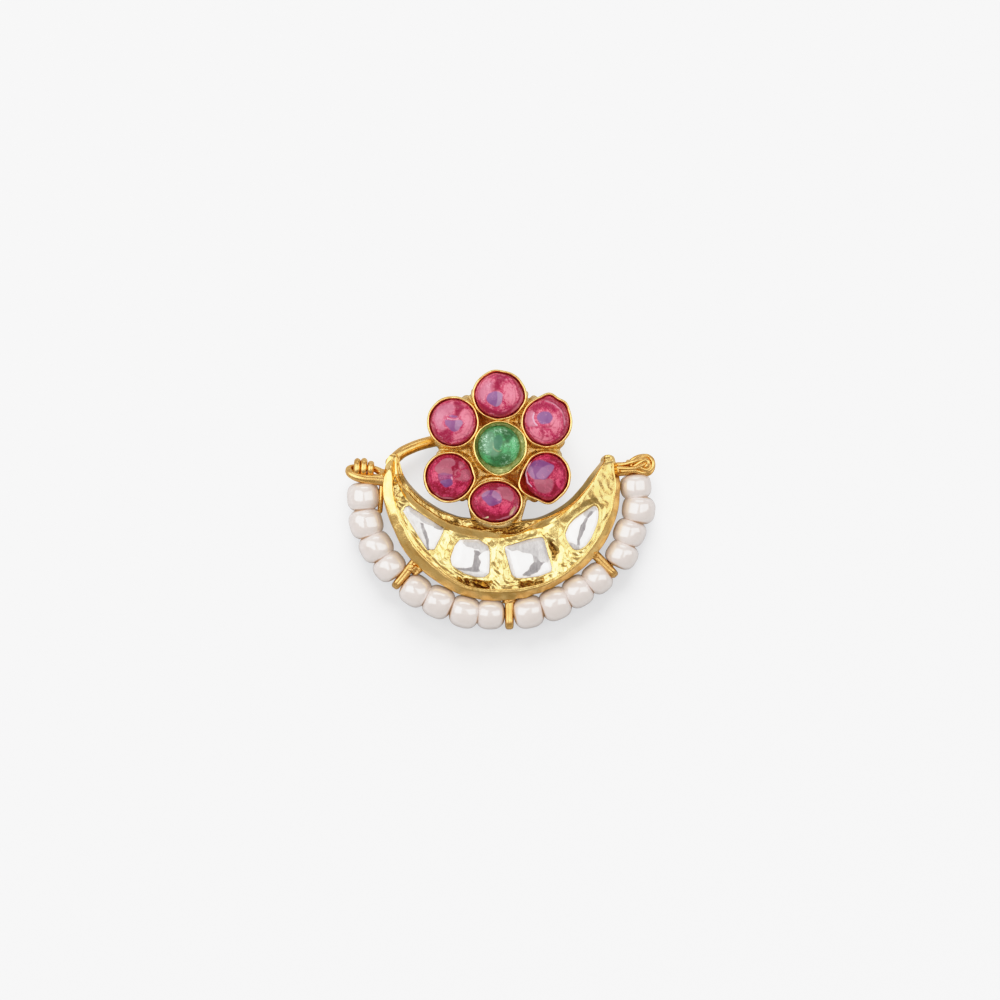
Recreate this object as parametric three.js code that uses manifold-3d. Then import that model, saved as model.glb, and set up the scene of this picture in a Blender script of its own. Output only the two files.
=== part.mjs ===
// A nose pin in the kundan style, in millimetres. A gold crescent case holds four flat polki stones
// bedded in foil. A flower of seven collets with six rubies round an emerald is soldered to the
// middle of its upper edge, and a round nose wire runs from the left horn to behind the flower.
// Sixteen seed pearls hang round the crescent on a string wire. That wire is wound on an eye at each
// horn and passes through three loops between.
//
// The pin lies on its flat back. +Z comes out of its face, +X is to the right of the face, +Y is up
// the face, and the origin is below the middle of its box.

import * as THREE from 'three';
import { mergeVertices } from 'three/addons/utils/BufferGeometryUtils.js';
import Module from 'manifold-3d';

const wasm = await Module();
wasm.setup();

// ---------------------------------------------------------------- driving dimensions, mm

const CRESCENT_CENTRE = { x: 0.1, y: 1.2 };
const SECTIONS_PER_ROW = 2;
const WIDE_CASE = 2.85;            // where the crescent is narrower, its walls and rims narrow with it
const TIP_ROUND = 0.45;            // how far the rounded end runs past the last row
const BED_GAP = 0.06;              // clearance round the foil bed and round each stone
const STONE_GAP = 0.03;

const COLLET_SIDES = 24;
const COLLET_WALL = 0.22;
const FLOWER_BACK = 1.9;
const COLLET_FLOOR = 2.45;
const COLLET_RIM = 3.75;
const PLATE_TOP = 2.62;
const GIRDLE = 3.35;               // height at which a cabochon's dome begins

const NOSE_WIRE = 0.45;            // radii of the wires
const EYE_WIRE = 0.27;
const LOOP_WIRE = 0.2;
const STRING_WIRE = 0.16;
const LOOP_SPREAD = 0.19;          // half the distance between the two turns of a string loop
const LOOP_HALF_HEIGHT = 0.42;
const STRING_HEIGHT = 1.27;        // height of the string wire and of the pearls' centres
const LAID_GAP = 0.06;             // clearance between wound wire and what it is wound on

// The crescent, from the left horn round the bottom to the right horn: where the row stands round
// CRESCENT_CENTRE, in degrees, and how far its outer and inner edges lie from that centre.
const CRESCENT = [
  { turn: -193, outer: 8.98, inner: 8.05 },
  { turn: -184, outer: 9.12, inner: 7.42 },
  { turn: -172, outer: 9.16, inner: 6.24 },
  { turn: -159, outer: 9.02, inner: 5.12 },
  { turn: -144, outer: 9.08, inner: 4.12 },
  { turn: -128, outer: 9.02, inner: 3.3 },
  { turn: -110, outer: 9.08, inner: 2.92 },
  { turn: -92, outer: 9.0, inner: 2.84 },
  { turn: -74, outer: 8.92, inner: 2.94 },
  { turn: -58, outer: 8.9, inner: 3.18 },
  { turn: -43, outer: 9.06, inner: 3.74 },
  { turn: -28, outer: 9.19, inner: 4.42 },
  { turn: -14, outer: 9.19, inner: 5.28 },
  { turn: -2, outer: 9.12, inner: 6.12 },
  { turn: 7, outer: 8.94, inner: 6.94 },
  { turn: 14.5, outer: 8.72, inner: 7.98 },
];

// Profiles across the crescent: the edge that a corner is measured from, how far in from it, and its
// height. The walls lean out to the belly, then in to the raised rims.
const CASE_PROFILE = [
  { edge: 'outer', inset: 0.32, z: 0 },
  { edge: 'outer', inset: 0.0, z: 1.8 },
  { edge: 'outer', inset: 0.08, z: 1.95 },
  { edge: 'outer', inset: 0.68, z: 2.62 },
  { edge: 'outer', inset: 0.95, z: 2.72 },
  { edge: 'outer', inset: 1.12, z: 2.64 },
  { edge: 'inner', inset: 1.2, z: 2.66 },
  { edge: 'inner', inset: 0.85, z: 2.84 },
  { edge: 'inner', inset: 0.35, z: 2.7 },
  { edge: 'inner', inset: 0.0, z: 1.9 },
  { edge: 'inner', inset: 0.1, z: 0 },
];
const TRAY = { outer: 1.12, inner: 1.2, floor: 2.1, firstRow: 0.75, lastRow: 13.9 };
const BED_TOP = 2.5;

// The polki stones' girdles, corner by corner, and each one's facet at the top.
const POLKI_BASE = 2.14;
const POLKI_GIRDLE = 2.56;
const POLKI_TOP = 2.86;
const POLKI_TABLE = 0.62;          // size of the top facet, against the girdle
const POLKI = [
  { name: 'polki_1', corners: [[-7.25, -0.55], [-4.45, -2.15], [-5.05, -3.8], [-5.6, -3.8], [-7.4, -0.95]] },
  { name: 'polki_2', corners: [[-3.1, -3.1], [-1.7, -3.05], [-0.9, -3.5], [-0.85, -5.75], [-2.3, -5.8],
    [-3.65, -5.15], [-3.85, -4.5], [-3.45, -3.7]] },
  { name: 'polki_3', corners: [[0.4, -3.75], [3.05, -2.9], [3.3, -3.1], [3.88, -5.3], [3.65, -5.58],
    [1.9, -6.0], [1.0, -5.75]] },
  { name: 'polki_4', corners: [[7.35, -0.5], [7.48, -1.6], [6.98, -2.85], [6.12, -3.68], [5.6, -3.5],
    [5.15, -2.35], [6.15, -1.2]] },
];

// The flower's stones: middle, half width, half height and height of the dome's top. A collet follows
// its stone at the distance named play, and is drawn out at the corners: direction in degrees, how
// far, and over how wide an angle. A corner marked for both is in the stone too.
const FLOWER = [
  { name: 'ruby_top', x: -0.08, y: 8.04, w: 1.84, h: 1.7, top: 4.5, play: 0.03,
    corners: [{ at: 101, out: 0.06, over: 14, both: true }, { at: -6, out: 0.1, over: 16, both: true }] },
  { name: 'ruby_upper_right', x: 3.58, y: 6.0, w: 1.74, h: 1.78, top: 4.45, play: 0.03,
    corners: [{ at: 84, out: 0.24, over: 15, both: true }, { at: 46, out: 0.12, over: 16, both: true }] },
  { name: 'ruby_lower_right', x: 3.56, y: 1.82, w: 1.64, h: 1.72, top: 4.5, play: 0.03,
    corners: [{ at: -84, out: 0.2, over: 18, both: true }, { at: 204, out: 0.42, over: 26, both: false }] },
  { name: 'ruby_bottom', x: -0.35, y: -0.15, w: 1.88, h: 1.5, top: 4.4, play: 0.03, corners: [] },
  { name: 'ruby_lower_left', x: -3.9, y: 1.77, w: 1.74, h: 1.74, top: 4.5, play: 0.03,
    corners: [{ at: -4, out: 0.08, over: 12, both: true }] },
  { name: 'ruby_upper_left', x: -3.6, y: 5.97, w: 1.77, h: 1.77, top: 4.5, play: 0.03, corners: [] },
  { name: 'emerald', x: -0.08, y: 4.12, w: 1.6, h: 1.6, top: 4.3, play: 0.2,
    corners: [{ at: -90, out: 0.28, over: 30, both: false }, { at: 0, out: 0.2, over: 50, both: false }] },
];

// The plate that the collets stand on, from the top round to the right. Its foot runs into the case.
const PLATE = [
  [-0.1, 8.0], [2.15, 7.85], [3.6, 6.0], [4.65, 3.9], [3.6, 1.8], [2.15, 0.05], [1.6, -1.3], [1.5, -2.2],
  [-2.2, -2.2], [-2.25, -1.2], [-2.5, 0.05], [-3.9, 1.8], [-4.8, 3.9], [-3.6, 6.0], [-2.3, 8.1],
];

// Routes of the wires, point by point.
const NOSE_WIRE_ROUTE = [
  [-8.4, 2.9, 1.35], [-7.65, 3.6, 1.3], [-6.9, 4.0, 1.15], [-6.1, 4.3, 0.95], [-5.2, 4.53, 0.75],
  [-4.2, 4.68, 0.57], [-3.0, 4.72, 0.47], [-1.6, 4.6, 0.45], [-0.2, 4.3, 0.45],
];
const LEFT_EYE_ROUTE = [
  [-8.85, 1.6, 1.95], [-9.8, 1.62, 2.0], [-10.9, 1.8, 2.0], [-11.55, 1.96, 1.85], [-11.73, 2.2, 1.5],
  [-11.52, 2.42, 1.15], [-11.15, 2.46, 1.03], [-10.4, 2.44, 1.0], [-9.6, 2.41, 1.0], [-8.85, 2.3, 1.05],
];
const RIGHT_EYE_ROUTE = [
  [8.8, 2.25, 1.9], [9.8, 2.25, 1.95], [10.9, 2.25, 1.95], [11.5, 2.28, 1.85], [11.73, 2.6, 1.6],
  [11.58, 2.92, 1.33], [11.25, 2.93, 1.2], [10.6, 2.8, 1.12], [9.95, 2.67, 1.05], [8.8, 2.5, 1.1],
];

// The string wire's two ends, wound on the rear strand of each eye: from where to where, and turns.
const WRAPS = [
  { name: 'wire_wraps_left', from: [-9.7, 2.41, 1.0], to: [-11.15, 2.46, 1.03], turns: 3 },
  { name: 'wire_wraps_right', from: [9.95, 2.67, 1.05], to: [11.25, 2.93, 1.2], turns: 4 },
];

// The pearls, in order along the string from the left: middle, half width across the string and half
// length along it. A string loop stands after every fourth.
const PEARLS = [
  { x: -10.54, y: 0.27, across: 1.24, along: 0.98 },
  { x: -10.33, y: -1.79, across: 1.25, along: 0.98 },
  { x: -9.55, y: -3.6, across: 1.23, along: 0.95 },
  { x: -8.55, y: -5.13, across: 1.2, along: 0.84 },
  { x: -6.52, y: -7.0, across: 1.2, along: 0.96 },
  { x: -4.75, y: -7.86, across: 1.2, along: 0.97 },
  { x: -2.72, y: -8.63, across: 1.19, along: 1.0 },
  { x: -0.74, y: -8.83, across: 1.12, along: 0.94 },
  { x: 2.2, y: -8.68, across: 1.15, along: 1.02 },
  { x: 4.26, y: -8.03, across: 1.17, along: 1.02 },
  { x: 6.02, y: -7.08, across: 1.18, along: 0.93 },
  { x: 7.5, y: -6.08, across: 1.19, along: 0.84 },
  { x: 9.4, y: -4.2, across: 1.19, along: 0.83 },
  { x: 10.0, y: -2.5, across: 1.17, along: 0.87 },
  { x: 10.7, y: -0.72, across: 1.21, along: 0.92 },
  { x: 10.47, y: 1.04, across: 1.14, along: 0.86 },
];
const PEARLS_PER_STRETCH = 4;
const STRING_START = [-10.6, 1.46];
const STRING_FINISH = [10.4, 1.96];
const STRING_BREAK = 0.03;         // half the gap between two stretches, inside a loop
const PEARL_SIDES = 12;
const PEARL_RINGS = 6;
const PEARL_SQUARENESS = 2.3;      // 2 would be an ellipsoid; more has flatter ends

// The loops that hold the string: where each leaves the case and where its end is.
const STRING_LOOPS = [
  { from: [-6.4, -4.55], to: [-8.28, -6.88] },
  { from: [0.68, -7.5], to: [0.68, -10.04] },
  { from: [7.0, -3.85], to: [8.98, -5.9] },
];

// ---------------------------------------------------------------- materials

const gold = () => new THREE.MeshStandardMaterial({ color: 0xd9a441, roughness: 0.25, metalness: 1 });
const foil = () => new THREE.MeshStandardMaterial({ color: 0xf0d469, roughness: 0.3, metalness: 1 });
const ruby = () => new THREE.MeshStandardMaterial({ color: 0xc41e57, roughness: 0.05, metalness: 0 });
const emerald = () => new THREE.MeshStandardMaterial({ color: 0x3a9a62, roughness: 0.05, metalness: 0 });
const polki = () => new THREE.MeshStandardMaterial({ color: 0xf4f4f8, roughness: 0.03, metalness: 0 });
const pearl = () => new THREE.MeshStandardMaterial({ color: 0xece2da, roughness: 0.22, metalness: 0 });

// ---------------------------------------------------------------- helpers

// A closed geometry as a solid that can be joined or cut.
function solid(geometry) {
  const bare = geometry.index ? geometry.toNonIndexed() : geometry.clone();
  bare.deleteAttribute('normal');
  bare.deleteAttribute('uv');
  const merged = mergeVertices(bare, 1e-5);
  return new wasm.Manifold(new wasm.Mesh({
    numProp: 3,
    vertProperties: new Float32Array(merged.attributes.position.array),
    triVerts: new Uint32Array(merged.index.array),
  }));
}

// A solid as a named mesh.
function meshOf(name, body, material) {
  const { vertProperties, triVerts } = body.getMesh();
  const geometry = new THREE.BufferGeometry();
  geometry.setAttribute('position', new THREE.BufferAttribute(new Float32Array(vertProperties), 3));
  geometry.setIndex(new THREE.BufferAttribute(new Uint32Array(triVerts), 1));
  geometry.computeVertexNormals();
  const mesh = new THREE.Mesh(geometry, material);
  mesh.name = name;
  return mesh;
}

function join(solids) {
  return solids.reduce((whole, next) => whole.add(next));
}

// A closed solid through rings of the same number of points, with a fan over the first and the last.
// Seen along the way from the first ring to the last, the rings run clockwise.
function loft(rings) {
  const count = rings[0].length;
  const points = rings.flat();
  const triangles = [];
  for (let ring = 0; ring + 1 < rings.length; ring++) {
    for (let i = 0; i < count; i++) {
      const a = ring * count + i;
      const b = ring * count + (i + 1) % count;
      triangles.push(a, b, a + count, b, b + count, a + count);
    }
  }
  const middle = (ring) => ring.reduce((sum, p) => sum.add(p), new THREE.Vector3()).divideScalar(count);
  const first = points.push(middle(rings[0])) - 1;
  const last = points.push(middle(rings.at(-1))) - 1;
  const start = (rings.length - 1) * count;
  for (let i = 0; i < count; i++) {
    const next = (i + 1) % count;
    triangles.push(first, next, i, last, start + i, start + next);
  }
  const geometry = new THREE.BufferGeometry().setFromPoints(points);
  geometry.setIndex(triangles);
  return solid(geometry);
}

// A round wire along a curve, with flat ends.
function wire(curve, radius, sides, steps) {
  const section = new THREE.Shape();
  for (let i = 0; i < sides; i++) {
    const angle = (i / sides) * 2 * Math.PI;
    const put = i ? 'lineTo' : 'moveTo';
    section[put](radius * Math.cos(angle), radius * Math.sin(angle));
  }
  return solid(new THREE.ExtrudeGeometry(section, { steps, extrudePath: curve, bevelEnabled: false }));
}

const route = (points) => new THREE.CatmullRomCurve3(points.map((p) => new THREE.Vector3(...p)));

// A flat polygon between two heights.
function slab(corners, low, high) {
  const shape = new THREE.Shape(corners.map(([x, y]) => new THREE.Vector2(x, y)));
  const geometry = new THREE.ExtrudeGeometry(shape, { depth: high - low, bevelEnabled: false });
  return solid(geometry.translate(0, 0, low));
}

// ---------------------------------------------------------------- the crescent

const edgeCurve = (edge) => new THREE.SplineCurve(CRESCENT.map((row) => {
  const angle = THREE.MathUtils.degToRad(row.turn);
  return new THREE.Vector2(
    CRESCENT_CENTRE.x + row[edge] * Math.cos(angle), CRESCENT_CENTRE.y + row[edge] * Math.sin(angle));
}));
const EDGES = { outer: edgeCurve('outer'), inner: edgeCurve('inner') };

// One ring across the crescent at a row, which may be a fraction. squeeze draws its sides together
// and past moves it along the crescent, both for the rounded tips.
function crossSection(row, corners, squeeze = 1, past = 0) {
  const at = row / (CRESCENT.length - 1);
  const outer = EDGES.outer.getPoint(at);
  const inner = EDGES.inner.getPoint(at);
  const across = inner.clone().sub(outer);
  const width = across.length();
  across.normalize();
  const along = new THREE.Vector2(across.y, -across.x).multiplyScalar(past);
  const narrow = Math.min(1, width / WIDE_CASE);
  return corners.map(({ edge, inset, z }) => {
    const reach = edge === 'outer' ? inset * narrow : width - inset * narrow;
    const place = width / 2 + (reach - width / 2) * squeeze;
    const p = outer.clone().addScaledVector(across, place).add(along);
    return new THREE.Vector3(p.x, p.y, z);
  });
}

// A solid along the crescent between two rows. Rounded tips are added when asked for.
function alongCrescent(corners, firstRow, lastRow, roundTips) {
  const count = Math.round((lastRow - firstRow) * SECTIONS_PER_ROW);
  const rings = [];
  for (let i = 0; i <= count; i++) {
    rings.push(crossSection(firstRow + ((lastRow - firstRow) * i) / count, corners));
  }
  if (roundTips) {
    for (const angle of [35, 60, 80]) {
      const turn = THREE.MathUtils.degToRad(angle);
      const past = TIP_ROUND * Math.sin(turn);
      rings.unshift(crossSection(firstRow, corners, Math.cos(turn), -past));
      rings.push(crossSection(lastRow, corners, Math.cos(turn), past));
    }
  }
  return loft(rings.reverse());
}

// The case, with the tray for the foil sunk between its rims.
function crescentCase() {
  const body = alongCrescent(CASE_PROFILE, 0, CRESCENT.length - 1, true);
  const tray = alongCrescent([
    { edge: 'outer', inset: TRAY.outer, z: TRAY.floor },
    { edge: 'outer', inset: TRAY.outer, z: COLLET_RIM },
    { edge: 'inner', inset: TRAY.inner, z: COLLET_RIM },
    { edge: 'inner', inset: TRAY.inner, z: TRAY.floor },
  ], TRAY.firstRow, TRAY.lastRow, false);
  return body.subtract(tray);
}

// A polki stone's outline, grown outward by an amount from its middle.
function grown(corners, amount) {
  const middle = corners.reduce((sum, [x, y]) => sum.add(new THREE.Vector2(x, y)), new THREE.Vector2());
  middle.divideScalar(corners.length);
  return corners.map(([x, y]) => {
    const out = new THREE.Vector2(x, y).sub(middle);
    return out.setLength(out.length() + amount).add(middle).toArray();
  });
}

// The foil over lac that fills the tray, open where the stones sit.
function foilBed() {
  const bed = alongCrescent([
    { edge: 'outer', inset: TRAY.outer + BED_GAP, z: TRAY.floor + BED_GAP },
    { edge: 'outer', inset: TRAY.outer + BED_GAP, z: BED_TOP },
    { edge: 'inner', inset: TRAY.inner + BED_GAP, z: BED_TOP },
    { edge: 'inner', inset: TRAY.inner + BED_GAP, z: TRAY.floor + BED_GAP },
  ], TRAY.firstRow + BED_GAP, TRAY.lastRow - BED_GAP, false);
  return POLKI.reduce((rest, stone) => rest.subtract(
    slab(grown(stone.corners, 2 * BED_GAP), FLOWER_BACK, COLLET_RIM)), bed);
}

// A flat uncut stone: an upright girdle and a sloping crown round one facet.
function polkiStone({ corners }) {
  const middle = new THREE.Vector2();
  corners.forEach(([x, y]) => middle.add(new THREE.Vector2(x, y)));
  middle.divideScalar(corners.length);
  const ring = (size, z) => corners.map(([x, y]) => new THREE.Vector3(
    middle.x + (x - middle.x) * size, middle.y + (y - middle.y) * size, z)).reverse();
  return loft([ring(1, POLKI_BASE), ring(1, POLKI_GIRDLE), ring(POLKI_TABLE, POLKI_TOP)]);
}

// ---------------------------------------------------------------- the flower

// One ring round a stone of the flower, grown outward, with its corners. size shrinks it for a dome.
function petalRing(stone, grow, z, forCollet, size = 1) {
  const points = [];
  for (let i = 0; i < COLLET_SIDES; i++) {
    const angle = (i / COLLET_SIDES) * 2 * Math.PI;
    const degrees = (i / COLLET_SIDES) * 360;
    let radius = 1 / Math.hypot(Math.cos(angle) / stone.w, Math.sin(angle) / stone.h) + grow;
    for (const corner of stone.corners) {
      const off = THREE.MathUtils.euclideanModulo(degrees - corner.at + 180, 360) - 180;
      if (forCollet || corner.both) radius += corner.out * Math.exp(-((off / corner.over) ** 2));
    }
    points.push(new THREE.Vector3(
      stone.x + radius * size * Math.cos(angle), stone.y + radius * size * Math.sin(angle), z));
  }
  return points;
}

// A collet: a cup with a thin wall that leans in a little at its rim.
function collet(stone) {
  const outside = stone.play + COLLET_WALL;
  return loft([
    petalRing(stone, stone.play, COLLET_FLOOR, true),
    petalRing(stone, stone.play, COLLET_RIM, true),
    petalRing(stone, outside - 0.04, COLLET_RIM, true),
    petalRing(stone, outside, COLLET_RIM - 0.25, true),
    petalRing(stone, outside - 0.1, FLOWER_BACK, true),
  ].reverse());
}

// A cabochon: an upright girdle inside the collet, and a dome.
function cabochon(stone) {
  const rise = stone.top - GIRDLE;
  const rings = [petalRing(stone, 0, COLLET_FLOOR + STONE_GAP, false)];
  for (const angle of [0, 26, 50, 72]) {
    const turn = THREE.MathUtils.degToRad(angle);
    rings.push(petalRing(stone, 0, GIRDLE + rise * Math.sin(turn), false, Math.cos(turn)));
  }
  return loft(rings);
}

// ---------------------------------------------------------------- the string of pearls

// A pearl, turned about its own hole and laid along the string.
function pearlSolid({ x, y, across, along }, direction) {
  const profile = [];
  for (let i = 0; i <= PEARL_RINGS; i++) {
    const angle = (i / PEARL_RINGS) * Math.PI - Math.PI / 2;
    const power = 2 / PEARL_SQUARENESS;
    const radius = across * Math.cos(angle) ** power;
    const height = along * Math.sign(Math.sin(angle)) * Math.abs(Math.sin(angle)) ** power;
    profile.push(new THREE.Vector2(i % PEARL_RINGS ? radius : 0, height));
  }
  const geometry = new THREE.LatheGeometry(profile, PEARL_SIDES);
  const turn = new THREE.Quaternion().setFromUnitVectors(new THREE.Vector3(0, 1, 0), direction);
  geometry.applyQuaternion(turn).translate(x, y, STRING_HEIGHT);
  return solid(geometry);
}

// The pearls between two loops, on their length of string wire, which ends inside the loops.
function pearlStretch(index) {
  const first = index * PEARLS_PER_STRETCH;
  const end = first + PEARLS_PER_STRETCH;
  const place = ({ x, y }) => new THREE.Vector3(x, y, STRING_HEIGHT);
  const halfway = (after) => {
    const here = place(PEARLS[after - 1]);
    const there = place(PEARLS[after]);
    return here.add(there).divideScalar(2);
  };
  const start = first ? halfway(first) : new THREE.Vector3(...STRING_START, STRING_HEIGHT);
  const finish = end < PEARLS.length ? halfway(end) : new THREE.Vector3(...STRING_FINISH, STRING_HEIGHT);
  const places = [start, ...PEARLS.slice(first, end).map(place), finish];
  const inward = (from, to) => to.clone().sub(from).setLength(STRING_BREAK);
  const ends = [...places];
  ends[0] = start.clone().add(inward(start, places[1]));
  ends[ends.length - 1] = finish.clone().add(inward(finish, places.at(-2)));
  const parts = [wire(new THREE.CatmullRomCurve3(ends), STRING_WIRE, 5, 3 * PEARLS_PER_STRETCH)];
  for (let i = 0; i < PEARLS_PER_STRETCH; i++) {
    const direction = places[i + 2].clone().sub(places[i]).normalize();
    parts.push(pearlSolid(PEARLS[first + i], direction));
  }
  return join(parts);
}

// One string loop: two turns of wire side by side, each out over the string and back below it.
function stringLoop({ from, to }) {
  const start = new THREE.Vector2(...from);
  const end = new THREE.Vector2(...to);
  const out = end.clone().sub(start).normalize();
  const side = new THREE.Vector2(-out.y, out.x);
  const bendAt = start.distanceTo(end) - LOOP_WIRE - LOOP_HALF_HEIGHT;
  const turns = [-1, 1].map((sign) => {
    const path = new THREE.CurvePath();
    const at = (reach, height) => {
      const p = start.clone().addScaledVector(out, reach).addScaledVector(side, sign * LOOP_SPREAD);
      return [p.x, p.y, STRING_HEIGHT + height];
    };
    const bend = [60, 20, -20, -60].map((angle) => {
      const turn = THREE.MathUtils.degToRad(angle);
      return at(bendAt + LOOP_HALF_HEIGHT * Math.cos(turn), LOOP_HALF_HEIGHT * Math.sin(turn));
    });
    const points = [at(0, LOOP_HALF_HEIGHT), at(bendAt * 0.6, LOOP_HALF_HEIGHT), ...bend,
      at(bendAt * 0.6, -LOOP_HALF_HEIGHT), at(0, -LOOP_HALF_HEIGHT)];
    path.add(route(points));
    return wire(path, LOOP_WIRE, 6, 10);
  });
  return join(turns);
}

// The string wire's end, wound as a helix on one strand of an eye.
function winding({ from, to, turns }) {
  const start = new THREE.Vector3(...from);
  const line = new THREE.Vector3(...to).sub(start);
  const ahead = line.clone().normalize();
  const side = new THREE.Vector3(0, 0, 1).cross(ahead).normalize();
  const up = ahead.clone().cross(side);
  const radius = EYE_WIRE + LAID_GAP + STRING_WIRE;
  const steps = turns * 7;
  const points = [];
  for (let i = 0; i <= steps; i++) {
    const angle = (i / steps) * turns * 2 * Math.PI;
    points.push(start.clone().addScaledVector(line, i / steps)
      .addScaledVector(side, radius * Math.cos(angle)).addScaledVector(up, radius * Math.sin(angle)));
  }
  return wire(new THREE.CatmullRomCurve3(points), STRING_WIRE, 5, steps);
}

// ---------------------------------------------------------------- assembly

const group = new THREE.Group();

group.add(meshOf('gold_frame', join([
  crescentCase(),
  slab(PLATE, FLOWER_BACK, PLATE_TOP).subtract(join(FLOWER.map((stone) => loft([
    petalRing(stone, stone.play, COLLET_FLOOR, true), petalRing(stone, stone.play, COLLET_RIM, true),
  ])))),
  ...FLOWER.map(collet),
  wire(route(NOSE_WIRE_ROUTE), NOSE_WIRE, 8, 16),
  wire(route(LEFT_EYE_ROUTE), EYE_WIRE, 6, 18),
  wire(route(RIGHT_EYE_ROUTE), EYE_WIRE, 6, 18),
  ...STRING_LOOPS.map(stringLoop),
]), gold()));

group.add(meshOf('kundan_bed', foilBed(), foil()));
for (const stone of POLKI) group.add(meshOf(stone.name, polkiStone(stone), polki()));
for (const stone of FLOWER) {
  group.add(meshOf(stone.name, cabochon(stone), stone.name === 'emerald' ? emerald() : ruby()));
}
for (let i = 0; i * PEARLS_PER_STRETCH < PEARLS.length; i++) {
  group.add(meshOf(`pearls_${i + 1}`, pearlStretch(i), pearl()));
}
for (const wraps of WRAPS) group.add(meshOf(wraps.name, winding(wraps), gold()));

export default group;
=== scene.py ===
import bpy
import numpy as np
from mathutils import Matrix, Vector


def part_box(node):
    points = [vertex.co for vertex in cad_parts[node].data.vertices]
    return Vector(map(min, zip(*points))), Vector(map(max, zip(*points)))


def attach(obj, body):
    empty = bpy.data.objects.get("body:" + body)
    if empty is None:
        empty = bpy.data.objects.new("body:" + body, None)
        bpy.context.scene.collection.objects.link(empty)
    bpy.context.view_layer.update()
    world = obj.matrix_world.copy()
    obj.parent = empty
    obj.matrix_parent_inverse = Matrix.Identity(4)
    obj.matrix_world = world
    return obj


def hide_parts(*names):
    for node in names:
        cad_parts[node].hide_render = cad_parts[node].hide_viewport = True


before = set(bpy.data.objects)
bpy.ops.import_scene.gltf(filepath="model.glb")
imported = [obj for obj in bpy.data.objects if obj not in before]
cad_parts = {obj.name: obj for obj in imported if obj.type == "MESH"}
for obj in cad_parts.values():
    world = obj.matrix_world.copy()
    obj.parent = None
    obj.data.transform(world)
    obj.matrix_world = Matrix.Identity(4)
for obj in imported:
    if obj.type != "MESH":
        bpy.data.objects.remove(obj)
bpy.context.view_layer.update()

# ------------------------------------------------------------------------------------------------
# The table that the pin lies on, and the studio: a soft box on each side of the camera and a lamp
# beyond the flower, in a dim room, as polished gold needs something dark to mirror. One more lamp,
# far off, lights the table alone.

MM = 0.001
CAMERA_HEIGHT = 0.43
TABLE_HALF = 900
TABLE_TOP = -0.01
scene = bpy.context.scene


def new_object(name, data):
    """An object of this mesh, lamp or camera, put in the scene."""
    made = bpy.data.objects.new(name, data)
    scene.collection.objects.link(made)
    return made


def build_mesh(name, points, faces, material, smooth=True):
    """A mesh object from points in millimetres and a list of arrays of faces."""
    mesh = bpy.data.meshes.new(name)
    corner_lists = [row for block in faces for row in np.asarray(block).tolist()]
    mesh.from_pydata((np.asarray(points, float) * MM).tolist(), [], corner_lists)
    mesh.polygons.foreach_set("use_smooth", np.full(len(mesh.polygons), smooth))
    mesh.materials.append(material)
    mesh.validate()
    mesh.update()
    return new_object(name, mesh)


def plug(node, inputs):
    """Give a node its inputs, by name or number: a socket is linked, another value is set."""
    for socket, value in inputs.items():
        if isinstance(value, bpy.types.NodeSocket):
            node.id_data.links.new(value, node.inputs[socket])
        else:
            node.inputs[socket].default_value = value


def new_material(name, **sockets):
    """A material of one Principled BSDF with these plain socket values, its tree and the shader."""
    material = bpy.data.materials.new(name)
    material.use_nodes = True
    shader = material.node_tree.nodes["Principled BSDF"]
    plug(shader, {socket.replace("_", " "): value for socket, value in sockets.items()})
    return material, material.node_tree, shader


def add_node(tree, kind, inputs=None, **settings):
    """A new shader node of this kind, with its settings and then its inputs."""
    node = tree.nodes.new("ShaderNode" + kind)
    for setting, value in settings.items():
        setattr(node, setting, value)
    plug(node, inputs or {})
    return node


def spread(value, low, high, to_low=0.0, to_high=1.0):
    """A value that goes from low to high made to go from to_low to to_high, and no further."""
    ends = {"From Min": low, "From Max": high, "To Min": to_low, "To Max": to_high}
    return add_node(value.id_data, "MapRange", {"Value": value, **ends}).outputs["Result"]


# The table stays pale to the eye, and is duller in what the gold mirrors.
table_paper, paper_tree, paper_shader = new_material(
    "table_paper", Roughness=0.9, Base_Color=(0.26, 0.26, 0.26, 1), Specular_IOR_Level=0.0,
    Emission_Color=(0.99, 1, 1.02, 1))
seen_directly = add_node(paper_tree, "LightPath").outputs["Is Camera Ray"]
plug(paper_shader, {"Emission Strength": spread(seen_directly, 0.0, 1.0, 0.17, 0.58)})
table_corners = TABLE_HALF * np.array([(-1, -1), (1, -1), (1, 1), (-1, 1)])
table = build_mesh(
    "table", np.c_[table_corners, np.full(4, TABLE_TOP)], [[[0, 1, 2, 3]]], table_paper, smooth=False)


def soft_box(name, place, size, power):
    """A rectangular lamp at a place, turned to face the pin, that the camera doesn't see."""
    lamp = bpy.data.lights.new(name, "AREA")
    lamp.shape = "RECTANGLE"
    lamp.size, lamp.size_y = size
    lamp.energy = power
    holder = new_object(name, lamp)
    holder.location = place
    holder.rotation_euler = (-Vector(place)).to_track_quat("-Z", "Y").to_euler()
    holder.visible_camera = False


soft_box("box_left", (-0.176, 0.04, 0.24), (0.25, 0.36), 0.50)
soft_box("box_right", (0.184, 0.03, 0.232), (0.18, 0.36), 0.30)
soft_box("lamp_beyond", (0.02, 0.36, 0.20), (0.30, 0.10), 0.16)
# the table's own lamp is far off beyond the flower, and lays a soft shade below the pearls
far_lamp = bpy.data.lights.new("table_lamp", "SUN")
far_lamp.energy = 8.0
far_lamp.angle = np.radians(45)
table_lamp = new_object("table_lamp", far_lamp)
table_lamp.rotation_euler = (np.radians(-60), 0, 0)
lit_alone = bpy.data.collections.new("lit_by_table_lamp")
lit_alone.objects.link(table)
table_lamp.light_linking.receiver_collection = lit_alone

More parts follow.
